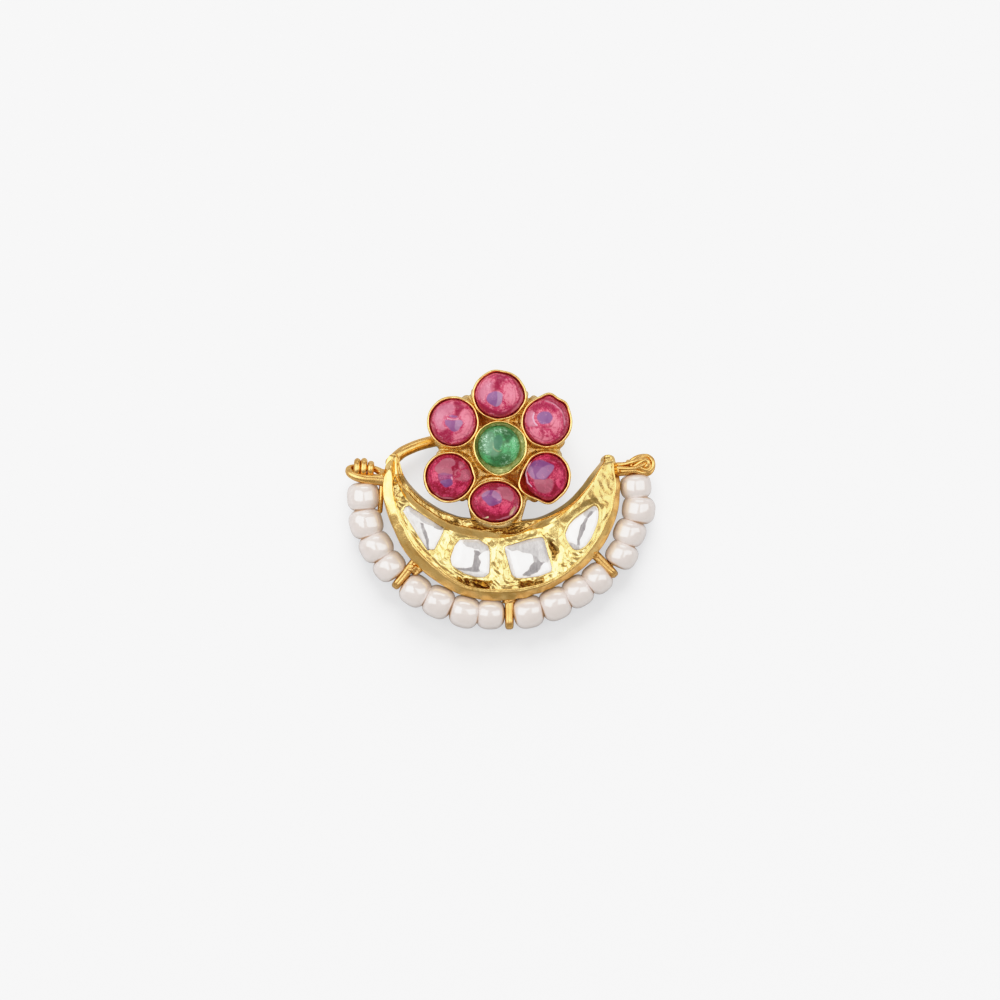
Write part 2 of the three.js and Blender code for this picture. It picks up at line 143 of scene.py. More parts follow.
# the room is dimmest high up round the camera, and one plain grey where the camera itself sees it
room = bpy.data.worlds.new("room")
scene.world = room
room.use_nodes = True
room_tree = room.node_tree
room_tree.nodes.clear()
direction = add_node(room_tree, "TexCoord").outputs["Generated"]
height_ramp = add_node(
    room_tree, "ValToRGB", {"Fac": add_node(room_tree, "SeparateXYZ", {"Vector": direction}).outputs["Z"]})
stops = height_ramp.color_ramp.elements
stops.new(0.6)
stops.new(0.88)
for stop, (position, grey) in zip(stops, ((0.0, 0.56), (0.6, 0.46), (0.88, 0.38), (0.97, 0.52))):
    stop.position = position
    stop.color = (1.02 * grey, 0.96 * grey, 0.88 * grey, 1)
lit = add_node(room_tree, "Background", {"Color": height_ramp.outputs["Color"]})
seen = add_node(room_tree, "Background", {"Color": (0.93, 0.93, 0.93, 1)})
choice = add_node(room_tree, "MixShader", {
    "Fac": add_node(room_tree, "LightPath").outputs["Is Camera Ray"],
    1: lit.outputs["Background"], 2: seen.outputs["Background"]})
add_node(room_tree, "OutputWorld", {"Surface": choice.outputs["Shader"]})

lens = bpy.data.cameras.new("camera")
lens.lens = 200
lens.sensor_width = 36
lens.clip_start = 0.01
camera = new_object("camera", lens)
camera.location = (0, 0, CAMERA_HEIGHT)
scene.camera = camera
# the print's tones: a short toe, and a shoulder that keeps the mirrored lamps from burning out
BRIGHTEST = 2
TONES = [(0.05, 0.025), (0.12, 0.09), (0.4, 0.375), (0.7, 0.68), (0.95, 0.86), (1.3, 0.95)]
view = scene.view_settings
view.view_transform = "Standard"
view.use_curve_mapping = True
view.curve_mapping.white_level = (BRIGHTEST,) * 3
for light, shown in TONES:
    view.curve_mapping.curves[3].points.new(light / BRIGHTEST, shown)
view.curve_mapping.update()
scene.cycles.use_denoising = True
scene.cycles.max_bounces = 10
scene.cycles.sample_clamp_indirect = 6.0

# ------------------------------------------------------------------------------------------------
# The gold. High carat gold is a deep yellow, and goes pale only where it mirrors a lamp. It was
# worked by hand, so its polish wanders and fine marks lie in it.


def maths(operation, first, second):
    """One step of arithmetic on two values, of which at least one is a socket."""
    tree = (second if isinstance(first, float) else first).id_data
    return add_node(tree, "Math", {0: first, 1: second}, operation=operation).outputs[0]


def mix_colour(share, first, second):
    """A colour between two by a share, each a socket or its red, green and blue."""
    first, second = ((*colour, 1) if isinstance(colour, tuple) else colour for colour in (first, second))
    return add_node(share.id_data, "Mix", {"Factor": share, 6: first, 7: second}, data_type="RGBA").outputs[2]


def noise(tree, waves, detail=2.0, rough=0.5, stretch=None):
    """A noise on the object's own coordinates, with this many waves per millimetre."""
    place = add_node(tree, "TexCoord").outputs["Object"]
    if stretch:
        place = add_node(tree, "Mapping", {"Vector": place, "Scale": stretch}).outputs["Vector"]
    return add_node(tree, "TexNoise", {
        "Vector": place, "Scale": waves / MM, "Detail": detail, "Roughness": rough}).outputs["Fac"]


def mesh_share(tree, name):
    """The share from 0 to 1 that a piece's own mesh holds by this name."""
    return add_node(tree, "Attribute", attribute_name=name).outputs["Fac"]


def dent(shader, height, depth, socket="Normal"):
    """Dent the surface, or its coat alone, by a height, this many millimetres deep."""
    bump = add_node(shader.id_data, "Bump", {"Height": height, "Distance": depth * MM})
    plug(shader, {socket: bump.outputs["Normal"]})


# Handwork: slow dents from the burnisher, fine marks between them, and a slow stain.
handwork = bpy.data.node_groups.new("handwork", "ShaderNodeTree")
for socket in ("Fine", "Slow"):
    amount = handwork.interface.new_socket(socket, in_out="INPUT", socket_type="NodeSocketFloat")
    amount.default_value = 1.0
for socket in ("Height", "Marks", "Stain"):
    handwork.interface.new_socket(socket, in_out="OUTPUT", socket_type="NodeSocketFloat")
given = handwork.nodes.new("NodeGroupInput").outputs
slow_dents, fine_marks = noise(handwork, 2.2, 3.0), noise(handwork, 11.0, 4.0, 0.6)
plug(handwork.nodes.new("NodeGroupOutput"), {
    "Height": maths("ADD", maths("MULTIPLY", slow_dents, given["Slow"]),
                    maths("MULTIPLY", fine_marks, given["Fine"])),
    "Marks": fine_marks, "Stain": noise(handwork, 1.1, 5.0, 0.65)})
FINE_MARKS = 0.25
# the dark gold that painted shade and other darkening mix in
DARKENED_GOLD = (0.21, 0.10, 0.022)


def gold_material(name, colour, deep, roughness, slow, depth):
    """Worked gold: the stain mixes in its deeper colour, the marks vary its polish, the slow dents and
    the marks dent it, and it is dark where the mesh says so: painted shade, and other darkening."""
    material, tree, shader = new_material(name, Metallic=1.0)
    work = add_node(tree, "Group", {"Fine": FINE_MARKS, "Slow": slow}, node_tree=handwork).outputs
    metal = mix_colour(spread(work["Stain"], 0.42, 0.72), colour, deep)
    plug(shader, {
        "Base Color": mix_colour(mesh_share(tree, "painted_shade_and_darkening"), metal, DARKENED_GOLD),
        "Roughness": spread(work["Marks"], 0.3, 0.7, roughness * 0.7, roughness * 1.35)})
    dent(shader, work["Height"], depth)
    return material


polished_gold = gold_material("polished_gold", (0.98, 0.71, 0.31), (0.90, 0.57, 0.21), 0.2, 0.8, 0.02)
wire_gold = gold_material("wire_gold", (0.86, 0.56, 0.23), (0.70, 0.41, 0.14), 0.27, 0.7, 0.018)
foil_gold = gold_material("foil_gold", (1.0, 0.78, 0.36), (0.96, 0.66, 0.25), 0.2, 0.6, 0.02)

# ------------------------------------------------------------------------------------------------
# The crescent's case. It is raised from sheet: a flat back, walls that lean out to a belly and in
# again as a polished bevel, and two rims with a tray sunk between them.

CRESCENT_CENTRE = np.array([0.1, 1.2])
WIDE_CASE = 2.85
TIP_ROUND = 0.45
TIP_LOOPS = 12
STATIONS = 430
# degrees round the centre, and how far the outer and inner edges lie from it, from the left horn
CRESCENT = np.array([
    (-193, 8.98, 8.05), (-184, 9.12, 7.42), (-172, 9.16, 6.24), (-159, 9.02, 5.12), (-144, 9.08, 4.12),
    (-128, 9.02, 3.3), (-110, 9.08, 2.92), (-92, 9.0, 2.84), (-74, 8.92, 2.94), (-58, 8.9, 3.18),
    (-43, 9.06, 3.74), (-28, 9.19, 4.42), (-14, 9.22, 5.28), (-2, 9.19, 6.12), (6.3, 9.07, 6.9),
    (12.8, 8.98, 7.84)])
# For the same rows. From the outer edge in: where the bevel ends, and the rim. From the inner edge
# in: where the wall ends, the chased strip and the smooth band. Then heights: of the outer edge, and
# of the foil by the outer and the inner rim. Then how crumpled the foil is, and the chased strip.
FRONT = np.array([
    (0.28, 0.34, 0.10, 0.20, 0.30, 2.25, 2.60, 2.60, 0.9, 0.5),
    (0.70, 0.80, 0.18, 0.42, 0.72, 2.30, 2.52, 2.60, 1.0, 0.6),
    (0.80, 0.92, 0.28, 0.68, 1.20, 2.30, 2.48, 2.52, 1.0, 0.7),
    (0.80, 1.00, 0.22, 0.70, 1.30, 2.20, 2.42, 2.44, 0.8, 0.5),
    (0.85, 1.20, 0.15, 0.85, 1.45, 2.10, 2.38, 2.40, 0.5, 0.9),
    (0.82, 1.15, 0.12, 0.88, 1.60, 2.00, 2.36, 2.40, 0.6, 1.0),
    (0.66, 0.86, 0.10, 0.82, 1.42, 2.00, 2.34, 2.40, 1.0, 1.0),
    (0.70, 0.90, 0.10, 0.90, 1.30, 2.00, 2.34, 2.42, 1.0, 1.0),
    (0.55, 0.75, 0.12, 0.95, 1.15, 2.00, 2.36, 2.42, 0.9, 1.0),
    (0.45, 0.60, 0.18, 0.70, 1.00, 2.00, 2.46, 2.46, 0.7, 0.8),
    (0.58, 0.72, 0.20, 0.32, 1.00, 2.00, 2.52, 2.56, 0.4, 0.4),
    (0.68, 0.82, 0.30, 0.40, 0.80, 2.00, 2.55, 2.68, 0.3, 0.2),
    (0.58, 0.68, 0.42, 0.48, 0.62, 2.05, 2.57, 2.74, 0.3, 0.2),
    (0.42, 0.52, 0.52, 0.57, 0.66, 2.05, 2.58, 2.78, 0.4, 0.2),
    (0.36, 0.44, 0.46, 0.50, 0.56, 2.10, 2.59, 2.76, 0.4, 0.2),
    (0.20, 0.24, 0.24, 0.28, 0.31, 2.15, 2.60, 2.66, 0.3, 0.2)])
EDGE, BEVEL, RIM, WALL, STRIP, BAND = range(6)
OUTER, INNER = 0, 1
# the last five columns of FRONT, each in a list so that it is taken as a column
EDGE_HEIGHT, FOIL_BY_OUTER, FOIL_BY_INNER, CRUMPLED, CHASED = ([column] for column in range(5, 10))
# the outer edge's height in the profile, and the least step between two of its corners
PROFILE_EDGE_HEIGHT = 2.0
LEAST_STEP = 0.004
# edge that a corner is measured from, the mark it lies at, how far past that, its height, and
# whether the height goes with the outer edge's
CASE_PROFILE = np.array([
    (OUTER, EDGE, 0.75, 0.0, 0), (OUTER, EDGE, 0.47, 0.0, 0), (OUTER, EDGE, 0.42, 0.1, 0),
    (OUTER, EDGE, 0.3, 1.1, 0), (OUTER, EDGE, 0.05, 1.85, 1), (OUTER, EDGE, 0.0, 2.0, 1),
    (OUTER, EDGE, 0.06, 2.08, 1), (OUTER, BEVEL, -0.05, 2.6, 0), (OUTER, BEVEL, 0.0, 2.6, 0),
    (OUTER, BEVEL, 0.05, 2.5, 0), (OUTER, BEVEL, 0.12, 2.52, 0), (OUTER, RIM, -0.05, 2.57, 0),
    (OUTER, RIM, 0.0, 2.56, 0), (OUTER, RIM, 0.03, 2.2, 0), (OUTER, RIM, 0.1, 2.1, 0),
    (INNER, BAND, 0.1, 2.1, 0), (INNER, BAND, 0.03, 2.2, 0), (INNER, BAND, 0.0, 2.46, 0),
    (INNER, BAND, -0.08, 2.52, 0), (INNER, STRIP, 0.12, 2.72, 0), (INNER, STRIP, 0.07, 2.8, 0),
    (INNER, STRIP, 0.02, 2.8, 0), (INNER, STRIP, -0.02, 2.7, 0), (INNER, WALL, 0.07, 2.72, 0),
    (INNER, WALL, 0.03, 2.8, 0), (INNER, WALL, 0.0, 2.79, 0), (INNER, WALL, -0.05, 2.7, 0),
    (INNER, EDGE, 0.0, 1.95, 0), (INNER, EDGE, 0.1, 0.12, 0), (INNER, EDGE, 0.16, 0.0, 0),
    (INNER, EDGE, 0.45, 0.0, 0)])
OUTER_FRONT = slice(5, 15)
INNER_FRONT = slice(27, 14, -1)


def through(points, count, closed=False):
    """A smooth curve through points. Between two, it is the cubic whose slope at each point is half
    the step from the point before to the point after."""
    p = np.asarray(points, float)
    n = len(p)
    t = np.linspace(0, n if closed else n - 1, count, endpoint=not closed)
    i = np.minimum(t.astype(int), n - 1 if closed else n - 2)
    f = (t - i).reshape((-1,) + (1,) * (p.ndim - 1))
    wrap = (lambda k: k % n) if closed else (lambda k: np.clip(k, 0, n - 1))
    a, b, c, d = (p[wrap(i + step)] for step in (-1, 0, 1, 2))
    return b + 0.5 * f * (c - a + f * (2 * a - 5 * b + 4 * c - d + f * (3 * (b - c) + d - a)))


def crescent_frame(rows):
    """For a column of rows, which may be fractions: the outer edge point, the step across, the
    width, how far the walls and rims narrow, and the front's marks and heights."""
    fine = 40
    samples = (len(CRESCENT) - 1) * fine + 1
    turn = np.radians(CRESCENT[:, :1])
    ways = np.hstack([np.cos(turn), np.sin(turn)])
    tables = [CRESCENT_CENTRE + CRESCENT[:, 1:2] * ways, CRESCENT_CENTRE + CRESCENT[:, 2:] * ways, FRONT]
    low = np.clip((rows * fine).astype(int), 0, samples - 2)
    f, low = rows * fine - low, low[:, 0]
    outer, inner, front = (c[low] * (1 - f) + c[low + 1] * f for c in (through(t, samples) for t in tables))
    width = np.linalg.norm(inner - outer, axis=1)[:, None]
    return outer, (inner - outer) / width, width, np.minimum(1, width / WIDE_CASE), front


def rounded_weights(profile):
    """Weights that turn a profile's corners into a rounded loop. Each side, as it is at row 6, is cut
    into 2 to 14 equal steps of about 0.05 mm, and then each sample is made the mean of itself and its
    two neighbours, twice."""
    _, _, width, _, front = crescent_frame(np.array([[6.0]]))
    inset = np.append(0, front[0, :5])[profile[:, 1].astype(int)] + profile[:, 2]
    corners = np.stack([np.where(profile[:, 0] == OUTER, inset, width[0] - inset), profile[:, 3]], 1)
    lengths = np.linalg.norm(np.roll(corners, -1, 0) - corners, axis=1)
    cuts = np.clip(np.round(lengths / 0.05).astype(int), 2, 14)
    side = np.repeat(np.arange(len(cuts)), cuts)
    share = np.concatenate([np.arange(count) / count for count in cuts])
    weights = np.zeros((len(side), len(cuts)))
    weights[np.arange(len(side)), side] = 1 - share
    weights[np.arange(len(side)), (side + 1) % len(cuts)] = share
    for _ in range(2):
        weights = (np.roll(weights, 1, 0) + weights + np.roll(weights, -1, 0)) / 3
    return weights


def along_crescent(first_row, last_row, profile, weights, whole):
    """Loops across the crescent. Each corner lies in from its edge by its mark and a bit more, and
    the loop is made of weighted means of the corners. On the whole case no corner lies nearer its
    edge than the one before it, and past each end the loops shrink as a half circle does."""
    rows = np.linspace(first_row, last_row, STATIONS)[:, None]
    squeeze, past = np.ones_like(rows), np.zeros_like(rows)
    if whole:
        bend = np.radians(np.linspace(8, 86, TIP_LOOPS))[:, None]
        tip = np.ones_like(bend)
        rows = np.vstack([tip * first_row, rows, tip * last_row])
        squeeze = np.vstack([np.cos(bend)[::-1], squeeze, np.cos(bend)])
        past = np.vstack([-np.sin(bend)[::-1], past, np.sin(bend)]) * TIP_ROUND
    outer, across, width, narrow, front = crescent_frame(rows)
    along = np.stack([across[:, 1], -across[:, 0]], 1)
    marks = np.hstack([np.zeros((len(rows), 1)), front[:, :5]])
    inset = marks[:, profile[:, 1].astype(int)] + profile[:, 2] * narrow
    if whole:
        for side in (OUTER_FRONT, INNER_FRONT):
            gaps = LEAST_STEP * np.arange(inset[:, side].shape[1])
            inset[:, side] = np.maximum.accumulate(inset[:, side] + gaps, 1)
    reach = np.where(profile[:, 0] == OUTER, inset, width - inset)
    place = width / 2 + (reach - width / 2) * squeeze
    flat = outer[:, None] + across[:, None] * place[..., None] + (along * past)[:, None]
    height = profile[:, 3] + profile[:, 4] * (front[:, EDGE_HEIGHT] - PROFILE_EDGE_HEIGHT)
    corners = np.concatenate([flat, height[..., None]], 2)
    return np.einsum("kj,sjc->skc", weights, corners), rows, squeeze, front


def with_middles(loops):
    """All points of the loops in one list, with the middles of the first and last loop at its end."""
    return np.vstack([loops.reshape(-1, 3), loops[0].mean(0), loops[-1].mean(0)])


def on_pin(piece, replaced=None):
    """Say that a piece rides on the pin's one body, and which solid it replaces."""
    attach(piece, "root")
    if replaced:
        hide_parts(replaced)


def loops_piece(name, blocks, material, replaced=None):
    """A piece of one or more tubes, each a block of loops joined station by station, and closed at
    each end by a fan to the middle of its last loop."""
    faces, start = [], 0
    for loops in blocks:
        stations, around = loops.shape[:2]
        s, a = np.meshgrid(np.arange(stations - 1), np.arange(around), indexing="ij")
        here, beside = start + s * around + a, start + s * around + (a + 1) % around
        k, after = np.arange(around), (np.arange(around) + 1) % around
        last, end = start + (stations - 1) * around, start + stations * around
        faces += [np.stack([here, beside, beside + around, here + around], -1).reshape(-1, 4),
                  np.stack([np.full(around, end), start + after, start + k], 1),
                  np.stack([np.full(around, end + 1), last + k, last + after], 1)]
        start = end + 2
    piece = build_mesh(name, np.vstack([with_middles(loops) for loops in blocks]), faces, material)
    on_pin(piece, replaced)
    return piece


def set_share(piece, name, values):
    """A number from 0 to 1 at each point of a piece, that its material reads by this name. The
    middles that close the piece get 0 where no number is given for them."""
    shares = np.zeros(len(piece.data.vertices), np.float32)
    shares[:np.size(values)] = np.clip(values, 0, 1).ravel()
    piece.data.attributes.new(name, "FLOAT", "POINT").data.foreach_set("value", shares)


def wander(points, size, seed, waves=7):
    """Handmade unevenness, from -1 to 1: the mean of sine waves of about this length in random
    directions through the points, which are in millimetres."""
    random = np.random.default_rng(seed)
    ways = random.normal(size=(waves, 3))
    ways *= (2 * np.pi / size * random.uniform(0.7, 1.4, waves) / np.linalg.norm(ways, axis=1))[:, None]
    return np.sin(points @ ways.T + random.uniform(0, 2 * np.pi, waves)).mean(-1) * 1.6


def sway(points, size, seed):
    """The same unevenness in two directions, across and up the table."""
    return np.stack([wander(points, size, seed), wander(points, size, seed + 1)], -1)


def crumple(flat, size, seed):
    """Creased foil, from 0 to about 1: the squared distance, in squares of this size, to the nearest
    of many spots, one at random in each square. It is dished at each spot and creased between them."""
    offsets = np.random.default_rng(seed).random((64, 64, 2))
    square = np.floor(flat / size).astype(int)
    nearest = np.full(flat.shape[:-1], np.inf)
    for step in np.ndindex(3, 3):
        there = square + step - 1
        spot = there + offsets[there[..., 0] % 64, there[..., 1] % 64]
        nearest = np.minimum(nearest, ((flat / size - spot) ** 2).sum(-1))
    return nearest


def ramp(values, start, over):
    """0 up to the start, 1 from this much beyond it, and even between. Over a length below zero it
    goes the other way: 0 down to the start, and 1 that much below it."""
    return np.clip((values - start) / over, 0, 1)


def bell(values, middle, width):
    """1 at the middle, and less on either side by a bell curve."""
    return np.exp(-((values - middle) / width) ** 2)


def at_corners(*corners):
    """How far each point of a loop of the case belongs to these corners of its profile."""
    return case_weights[:, corners].sum(1)


def tip_slope(points, rows):
    """How far the tips slope back at loops of points: the left one for longer, by a smooth step over
    the first row that starts later away from the middle, the right one by a square."""
    from_edge = np.linalg.norm(points[..., :2] - crescent_frame(rows)[0][:, None], axis=-1)
    bow = 0.45 * np.clip(np.abs(from_edge - 0.38) / 0.38, 0, 1.3) ** 2
    to_tip = np.clip(1 - (rows - bow) / 0.8, 0, 1)
    return 0.75 * to_tip ** 2 * (3 - 2 * to_tip) + 0.2 * ramp(rows, 14.5, 0.5) ** 2


case_weights = rounded_weights(CASE_PROFILE)
case_loops, case_rows, case_squeeze, case_front = along_crescent(
    0, len(CRESCENT) - 1, CASE_PROFILE, case_weights, True)
case_height = case_loops[..., 2]
in_strip = at_corners(21, 22, 23, 24)
in_tray = at_corners(12, 13, 14, 15, 16, 17)
# beyond the ends of the foil the tray is nearly filled
filled = 1 - ramp(case_rows, 0.5, 0.4) * ramp(case_rows, 14.5, -0.3)
fill_height = 2.58 + 0.14 * (case_rows > 7) * at_corners(15, 16, 17)
case_height += filled * in_tray * (fill_height - case_height)
# on the right horn the band is level with the rims
case_height += ramp(case_rows, 9.8, 0.9) * at_corners(16, 17, 18) * np.clip(2.76 - case_height, 0, 0.25)
# past the bottom the step down from the bevel to the rim runs out
case_height += ramp(case_rows, 5.5, 1.5) * (0.09 * at_corners(9, 10) + 0.04 * at_corners(11, 12))
front_share = ramp(case_height, 1.9, 0.8)
case_height -= front_share * (tip_slope(case_loops, case_rows) + (1 - case_squeeze) * 0.25)
# past the ends the walls come down to the gold between them
over_tray = case_height - (case_height @ in_tray / in_tray.sum())[:, None]
case_height -= (1 - case_squeeze) * np.clip(over_tray, 0, None)
# the chased strip, and the lumps of gold in the left tip
from_centre = case_loops[..., :2] - CRESCENT_CENTRE
case_radius = np.linalg.norm(from_centre, axis=-1)
lengthwise = np.stack([np.arctan2(from_centre[..., 0], -from_centre[..., 1]) * 2.6, case_radius * 1.5], -1)
folds = np.clip(crumple(lengthwise, 0.5, 5) + 0.45 * crumple(lengthwise, 0.22, 6) - 0.35, -0.35, 0.7)
strip_depth = (in_strip * case_front[:, CHASED] + 0.5 * in_tray * filled * (case_rows < 7)) * case_squeeze ** 2
case_height += 0.17 * strip_depth * folds
# the burnisher's wander, on the front and walls but not on the back
off_back = ramp(case_height, 0, 1.5)
case_height += 0.025 * wander(case_loops, 1.3, 1) * off_back
case_loops[..., :2] += 0.02 * sway(case_loops, 2.1, 2) * off_back[..., None]
ragged = at_corners(4, 5, 6) * bell(case_rows, 7.6, 1.8)
case_loops[..., :2] += (0.05 * ragged * wander(case_loops, 0.7, 8) / case_radius)[..., None] * from_centre
crescent_case = loops_piece("crescent_case", [case_loops], polished_gold, "gold_frame")
# darker in the hollows of the chased strip and of the left tip's lumps, and on the inner wall;
# long darker streaks; and painted shade on the bevel along the bottom
strip_darkening = strip_depth * np.clip(1.5 - 2.2 * folds + 1.8 * wander(case_loops, 1.6, 4), 0.15, 1)
in_wall = np.where(case_weights @ CASE_PROFILE[:, 0] > 0.5, at_corners(26, 27, 28), 0)
long_way = np.stack(np.broadcast_arrays(case_rows, case_radius * 2.6, 0), -1)
# painted shade on the bevel along the bottom
low_bevel_shade = at_corners(5, 6, 7, 8) * bell(case_rows, 7.4, 2.2)
set_share(crescent_case, "painted_shade_and_darkening", np.max([
    strip_darkening * (0.95 - 0.6 * ramp(case_rows, 8, 2)),
    in_wall * np.clip(0.08 + 0.25 * wander(case_loops, 1.7, 9), 0, 1),
    ramp(case_height, 0, 1.5) * 0.25 * np.clip(1.2 * wander(long_way, 0.9, 7) - 0.1, 0, 1),
    low_bevel_shade * (0.34 + 0.12 * wander(case_loops, 1.2, 10))], 0))

# ------------------------------------------------------------------------------------------------
# The polki. Four flat stones, hardly cut: each has a girdle as it was found, one table, and a few
# facets between. Polished foil behind them makes them white; the grey and dark facets are painted
# shade and reflection, and the stones glow a little as painted light.

# the painted tone colours the stone and makes it glow a little, as painted light
polki_glass, polki_tree, polki_shader = new_material("polki", Roughness=0.07, IOR=1.6, Emission_Strength=0.23)
streaks = maths("MULTIPLY", noise(polki_tree, 3.6, 6.0, 0.75, (1.0, 0.45, 1.0)), 0.68)
painted_polki_tone = maths("ADD", maths("SUBTRACT", mesh_share(polki_tree, "painted_tone"), 0.40), streaks)
plug(polki_shader, {
    "Base Color": mix_colour(painted_polki_tone, (0.19, 0.17, 0.19), (1.0, 1.0, 1.0)),
    "Emission Color": mix_colour(painted_polki_tone, (0.0, 0.0, 0.0), (1.0, 1.0, 1.0))})

POLKI_BASE = 2.15
POLKI_GIRDLE = 2.52
CROWN_STEP = 0.14
# the facets' painted tones of shade and reflection, from white to dark
WHITE, PALE, MIST, GREY, DARK = 0.98, 0.74, 0.52, 0.4, 0.27
# the girdle's corners, then the facets that aren't white: their painted tone and corners
POLKI = {
    "polki_1": dict(
        girdle=[(-7.32, -0.52), (-6.95, -0.5), (-4.42, -2.15), (-4.35, -2.4), (-5.05, -3.8), (-5.62, -3.8),
            (-7.42, -0.95)],
        facets=[
            (PALE, [(-7.5, -0.3), (-6.9, -0.5), (-5.7, -2.2), (-5.6, -3.9), (-6.0, -3.3), (-6.6, -2.0),
                (-7.1, -1.3)]),
            (MIST, [(-7.2, -0.4), (-6.7, -0.5), (-5.4, -1.4), (-4.3, -2.1), (-4.6, -2.3), (-5.2, -2.05),
                (-5.85, -1.8), (-6.2, -1.5), (-6.9, -0.9)]),
            (GREY, [(-5.1, -1.95), (-4.3, -2.15), (-4.5, -2.35), (-5.1, -2.15)]),
            (DARK, [(-6.15, -1.75), (-5.9, -1.8), (-5.6, -2.6), (-5.48, -3.0), (-5.42, -3.9), (-5.62, -3.9),
                (-5.7, -3.1), (-5.98, -2.4)])]),
    "polki_2": dict(
        girdle=[(-3.1, -3.05), (-1.65, -3.05), (-0.95, -3.5), (-0.78, -4.0), (-0.82, -5.6), (-1.2, -5.95),
            (-1.75, -5.95), (-2.75, -5.65), (-3.7, -5.05), (-3.82, -4.5), (-3.5, -3.55)],
        facets=[
            (PALE, [(-3.6, -5.1), (-2.6, -5.35), (-1.5, -5.5), (-1.0, -5.6), (-1.2, -6.1), (-2.0, -6.1),
                (-3.7, -5.4)]),
            (MIST, [(-2.85, -3.1), (-1.6, -3.1), (-0.95, -3.5), (-0.88, -3.85), (-1.1, -3.95), (-1.45, -4.15),
                (-1.65, -3.8), (-2.1, -3.72), (-2.6, -3.6), (-2.85, -3.3)]),
            (DARK, [(-1.97, -3.8), (-1.65, -3.9), (-1.42, -4.1), (-1.65, -4.35), (-1.45, -4.75), (-1.58, -5.1),
                (-1.55, -5.5), (-2.0, -5.55), (-2.6, -5.45), (-3.3, -5.35), (-3.3, -5.22), (-2.6, -5.22),
                (-2.15, -5.15), (-2.05, -4.7)])]),
    "polki_3": dict(
        girdle=[(0.35, -3.6), (1.1, -3.38), (2.35, -3.0), (3.2, -2.85), (3.4, -3.05), (3.7, -4.2), (4.0, -5.2),
            (3.95, -5.5), (3.1, -5.85), (1.9, -6.02), (1.2, -6.0), (0.9, -5.7), (0.4, -3.95)],
        facets=[
            (PALE, [(0.3, -3.7), (0.7, -3.9), (0.95, -4.7), (1.1, -5.4), (1.3, -6.0), (0.9, -6.0),
                (0.6, -4.8)]),
            (MIST, [(0.45, -3.65), (1.1, -3.3), (3.3, -2.75), (3.7, -4.2), (3.8, -4.75), (3.5, -4.85),
                (3.15, -4.7), (2.9, -4.55), (2.6, -4.3), (2.4, -4.15), (1.7, -4.05), (1.3, -3.85),
                (0.9, -4.0)]),
            (DARK, [(2.55, -4.25), (2.95, -4.55), (3.15, -4.75), (3.5, -4.8), (3.2, -5.05), (3.1, -5.2),
                (2.95, -5.6), (2.7, -5.62), (2.3, -5.85), (1.8, -5.85), (1.7, -5.7), (2.05, -5.5), (2.3, -5.1),
                (2.58, -4.75)]),
            (GREY, [(2.6, -4.3), (2.95, -4.5), (2.8, -4.8), (2.55, -4.7)])]),
    "polki_4": dict(
        girdle=[(7.2, -0.38), (7.48, -0.45), (7.62, -0.75), (7.62, -1.4), (7.45, -2.0), (7.05, -2.95),
            (6.6, -3.55), (6.1, -3.83), (5.68, -3.83), (5.35, -3.45), (5.05, -2.95), (5.0, -2.6), (5.25, -1.95),
            (5.65, -1.45), (6.4, -0.9)],
        facets=[
            (PALE, [(5.0, -2.2), (5.2, -2.0), (5.7, -1.55), (6.45, -1.05), (6.4, -0.8), (5.5, -1.3)]),
            (MIST, [(6.4, -0.95), (6.85, -0.55), (7.35, -0.45), (7.5, -0.75), (7.2, -1.0), (6.75, -1.3),
                (6.45, -1.25)]),
            (MIST, [(5.35, -3.2), (5.75, -3.35), (6.1, -3.45), (6.2, -3.9), (5.6, -3.9), (5.3, -3.5)]),
            (DARK, [(6.95, -0.85), (7.25, -0.85), (7.1, -1.1), (6.75, -1.4), (6.6, -1.9), (6.55, -2.3),
                (6.3, -2.7), (6.15, -3.1), (6.12, -3.5), (5.92, -3.45), (5.95, -3.0), (6.05, -2.45),
                (6.2, -1.95), (6.45, -1.55), (6.68, -1.25)])])}


def round_corners(corners, cut):
    """Each corner of a polygon replaced by two, this far along its two sides."""
    p = np.asarray(corners, float)
    ways = np.roll(p, 1, 0) - p, np.roll(p, -1, 0) - p
    steps = [way * np.minimum(0.3, cut / np.linalg.norm(way, axis=1))[:, None] for way in ways]
    return np.stack([p + step for step in steps], 1).reshape(-1, 2)


def away_from(points, corners):
    """How far each point lies outside a polygon; inside it, the distance is below zero."""
    a = np.asarray(corners, float)
    b = np.roll(a, -1, 0)
    side, offset = b - a, points[..., None, :] - a
    t = np.clip((offset * side).sum(-1) / (side ** 2).sum(-1), 0, 1)
    distance = np.linalg.norm(offset - side * t[..., None], axis=-1).min(-1)
    x, y = points[..., :1], points[..., 1:]
    level = (a[:, 1] > y) != (b[:, 1] > y)
    rise = np.where(b[:, 1] == a[:, 1], 1, b[:, 1] - a[:, 1])
    inside = (level & (x < (b[:, 0] - a[:, 0]) * (y - a[:, 1]) / rise + a[:, 0])).sum(-1) % 2 == 1
    return np.where(inside, -distance, distance)


def covered(points, corners, edge):
    """1 inside a polygon and 0 outside it, changing evenly over its soft edge."""
    return np.clip(0.5 - away_from(points, corners) / edge, 0, 1)


POLKI_OUTLINES = {name: through(round_corners(cut["girdle"], 0.12), 150, closed=True)
                  for name, cut in POLKI.items()}


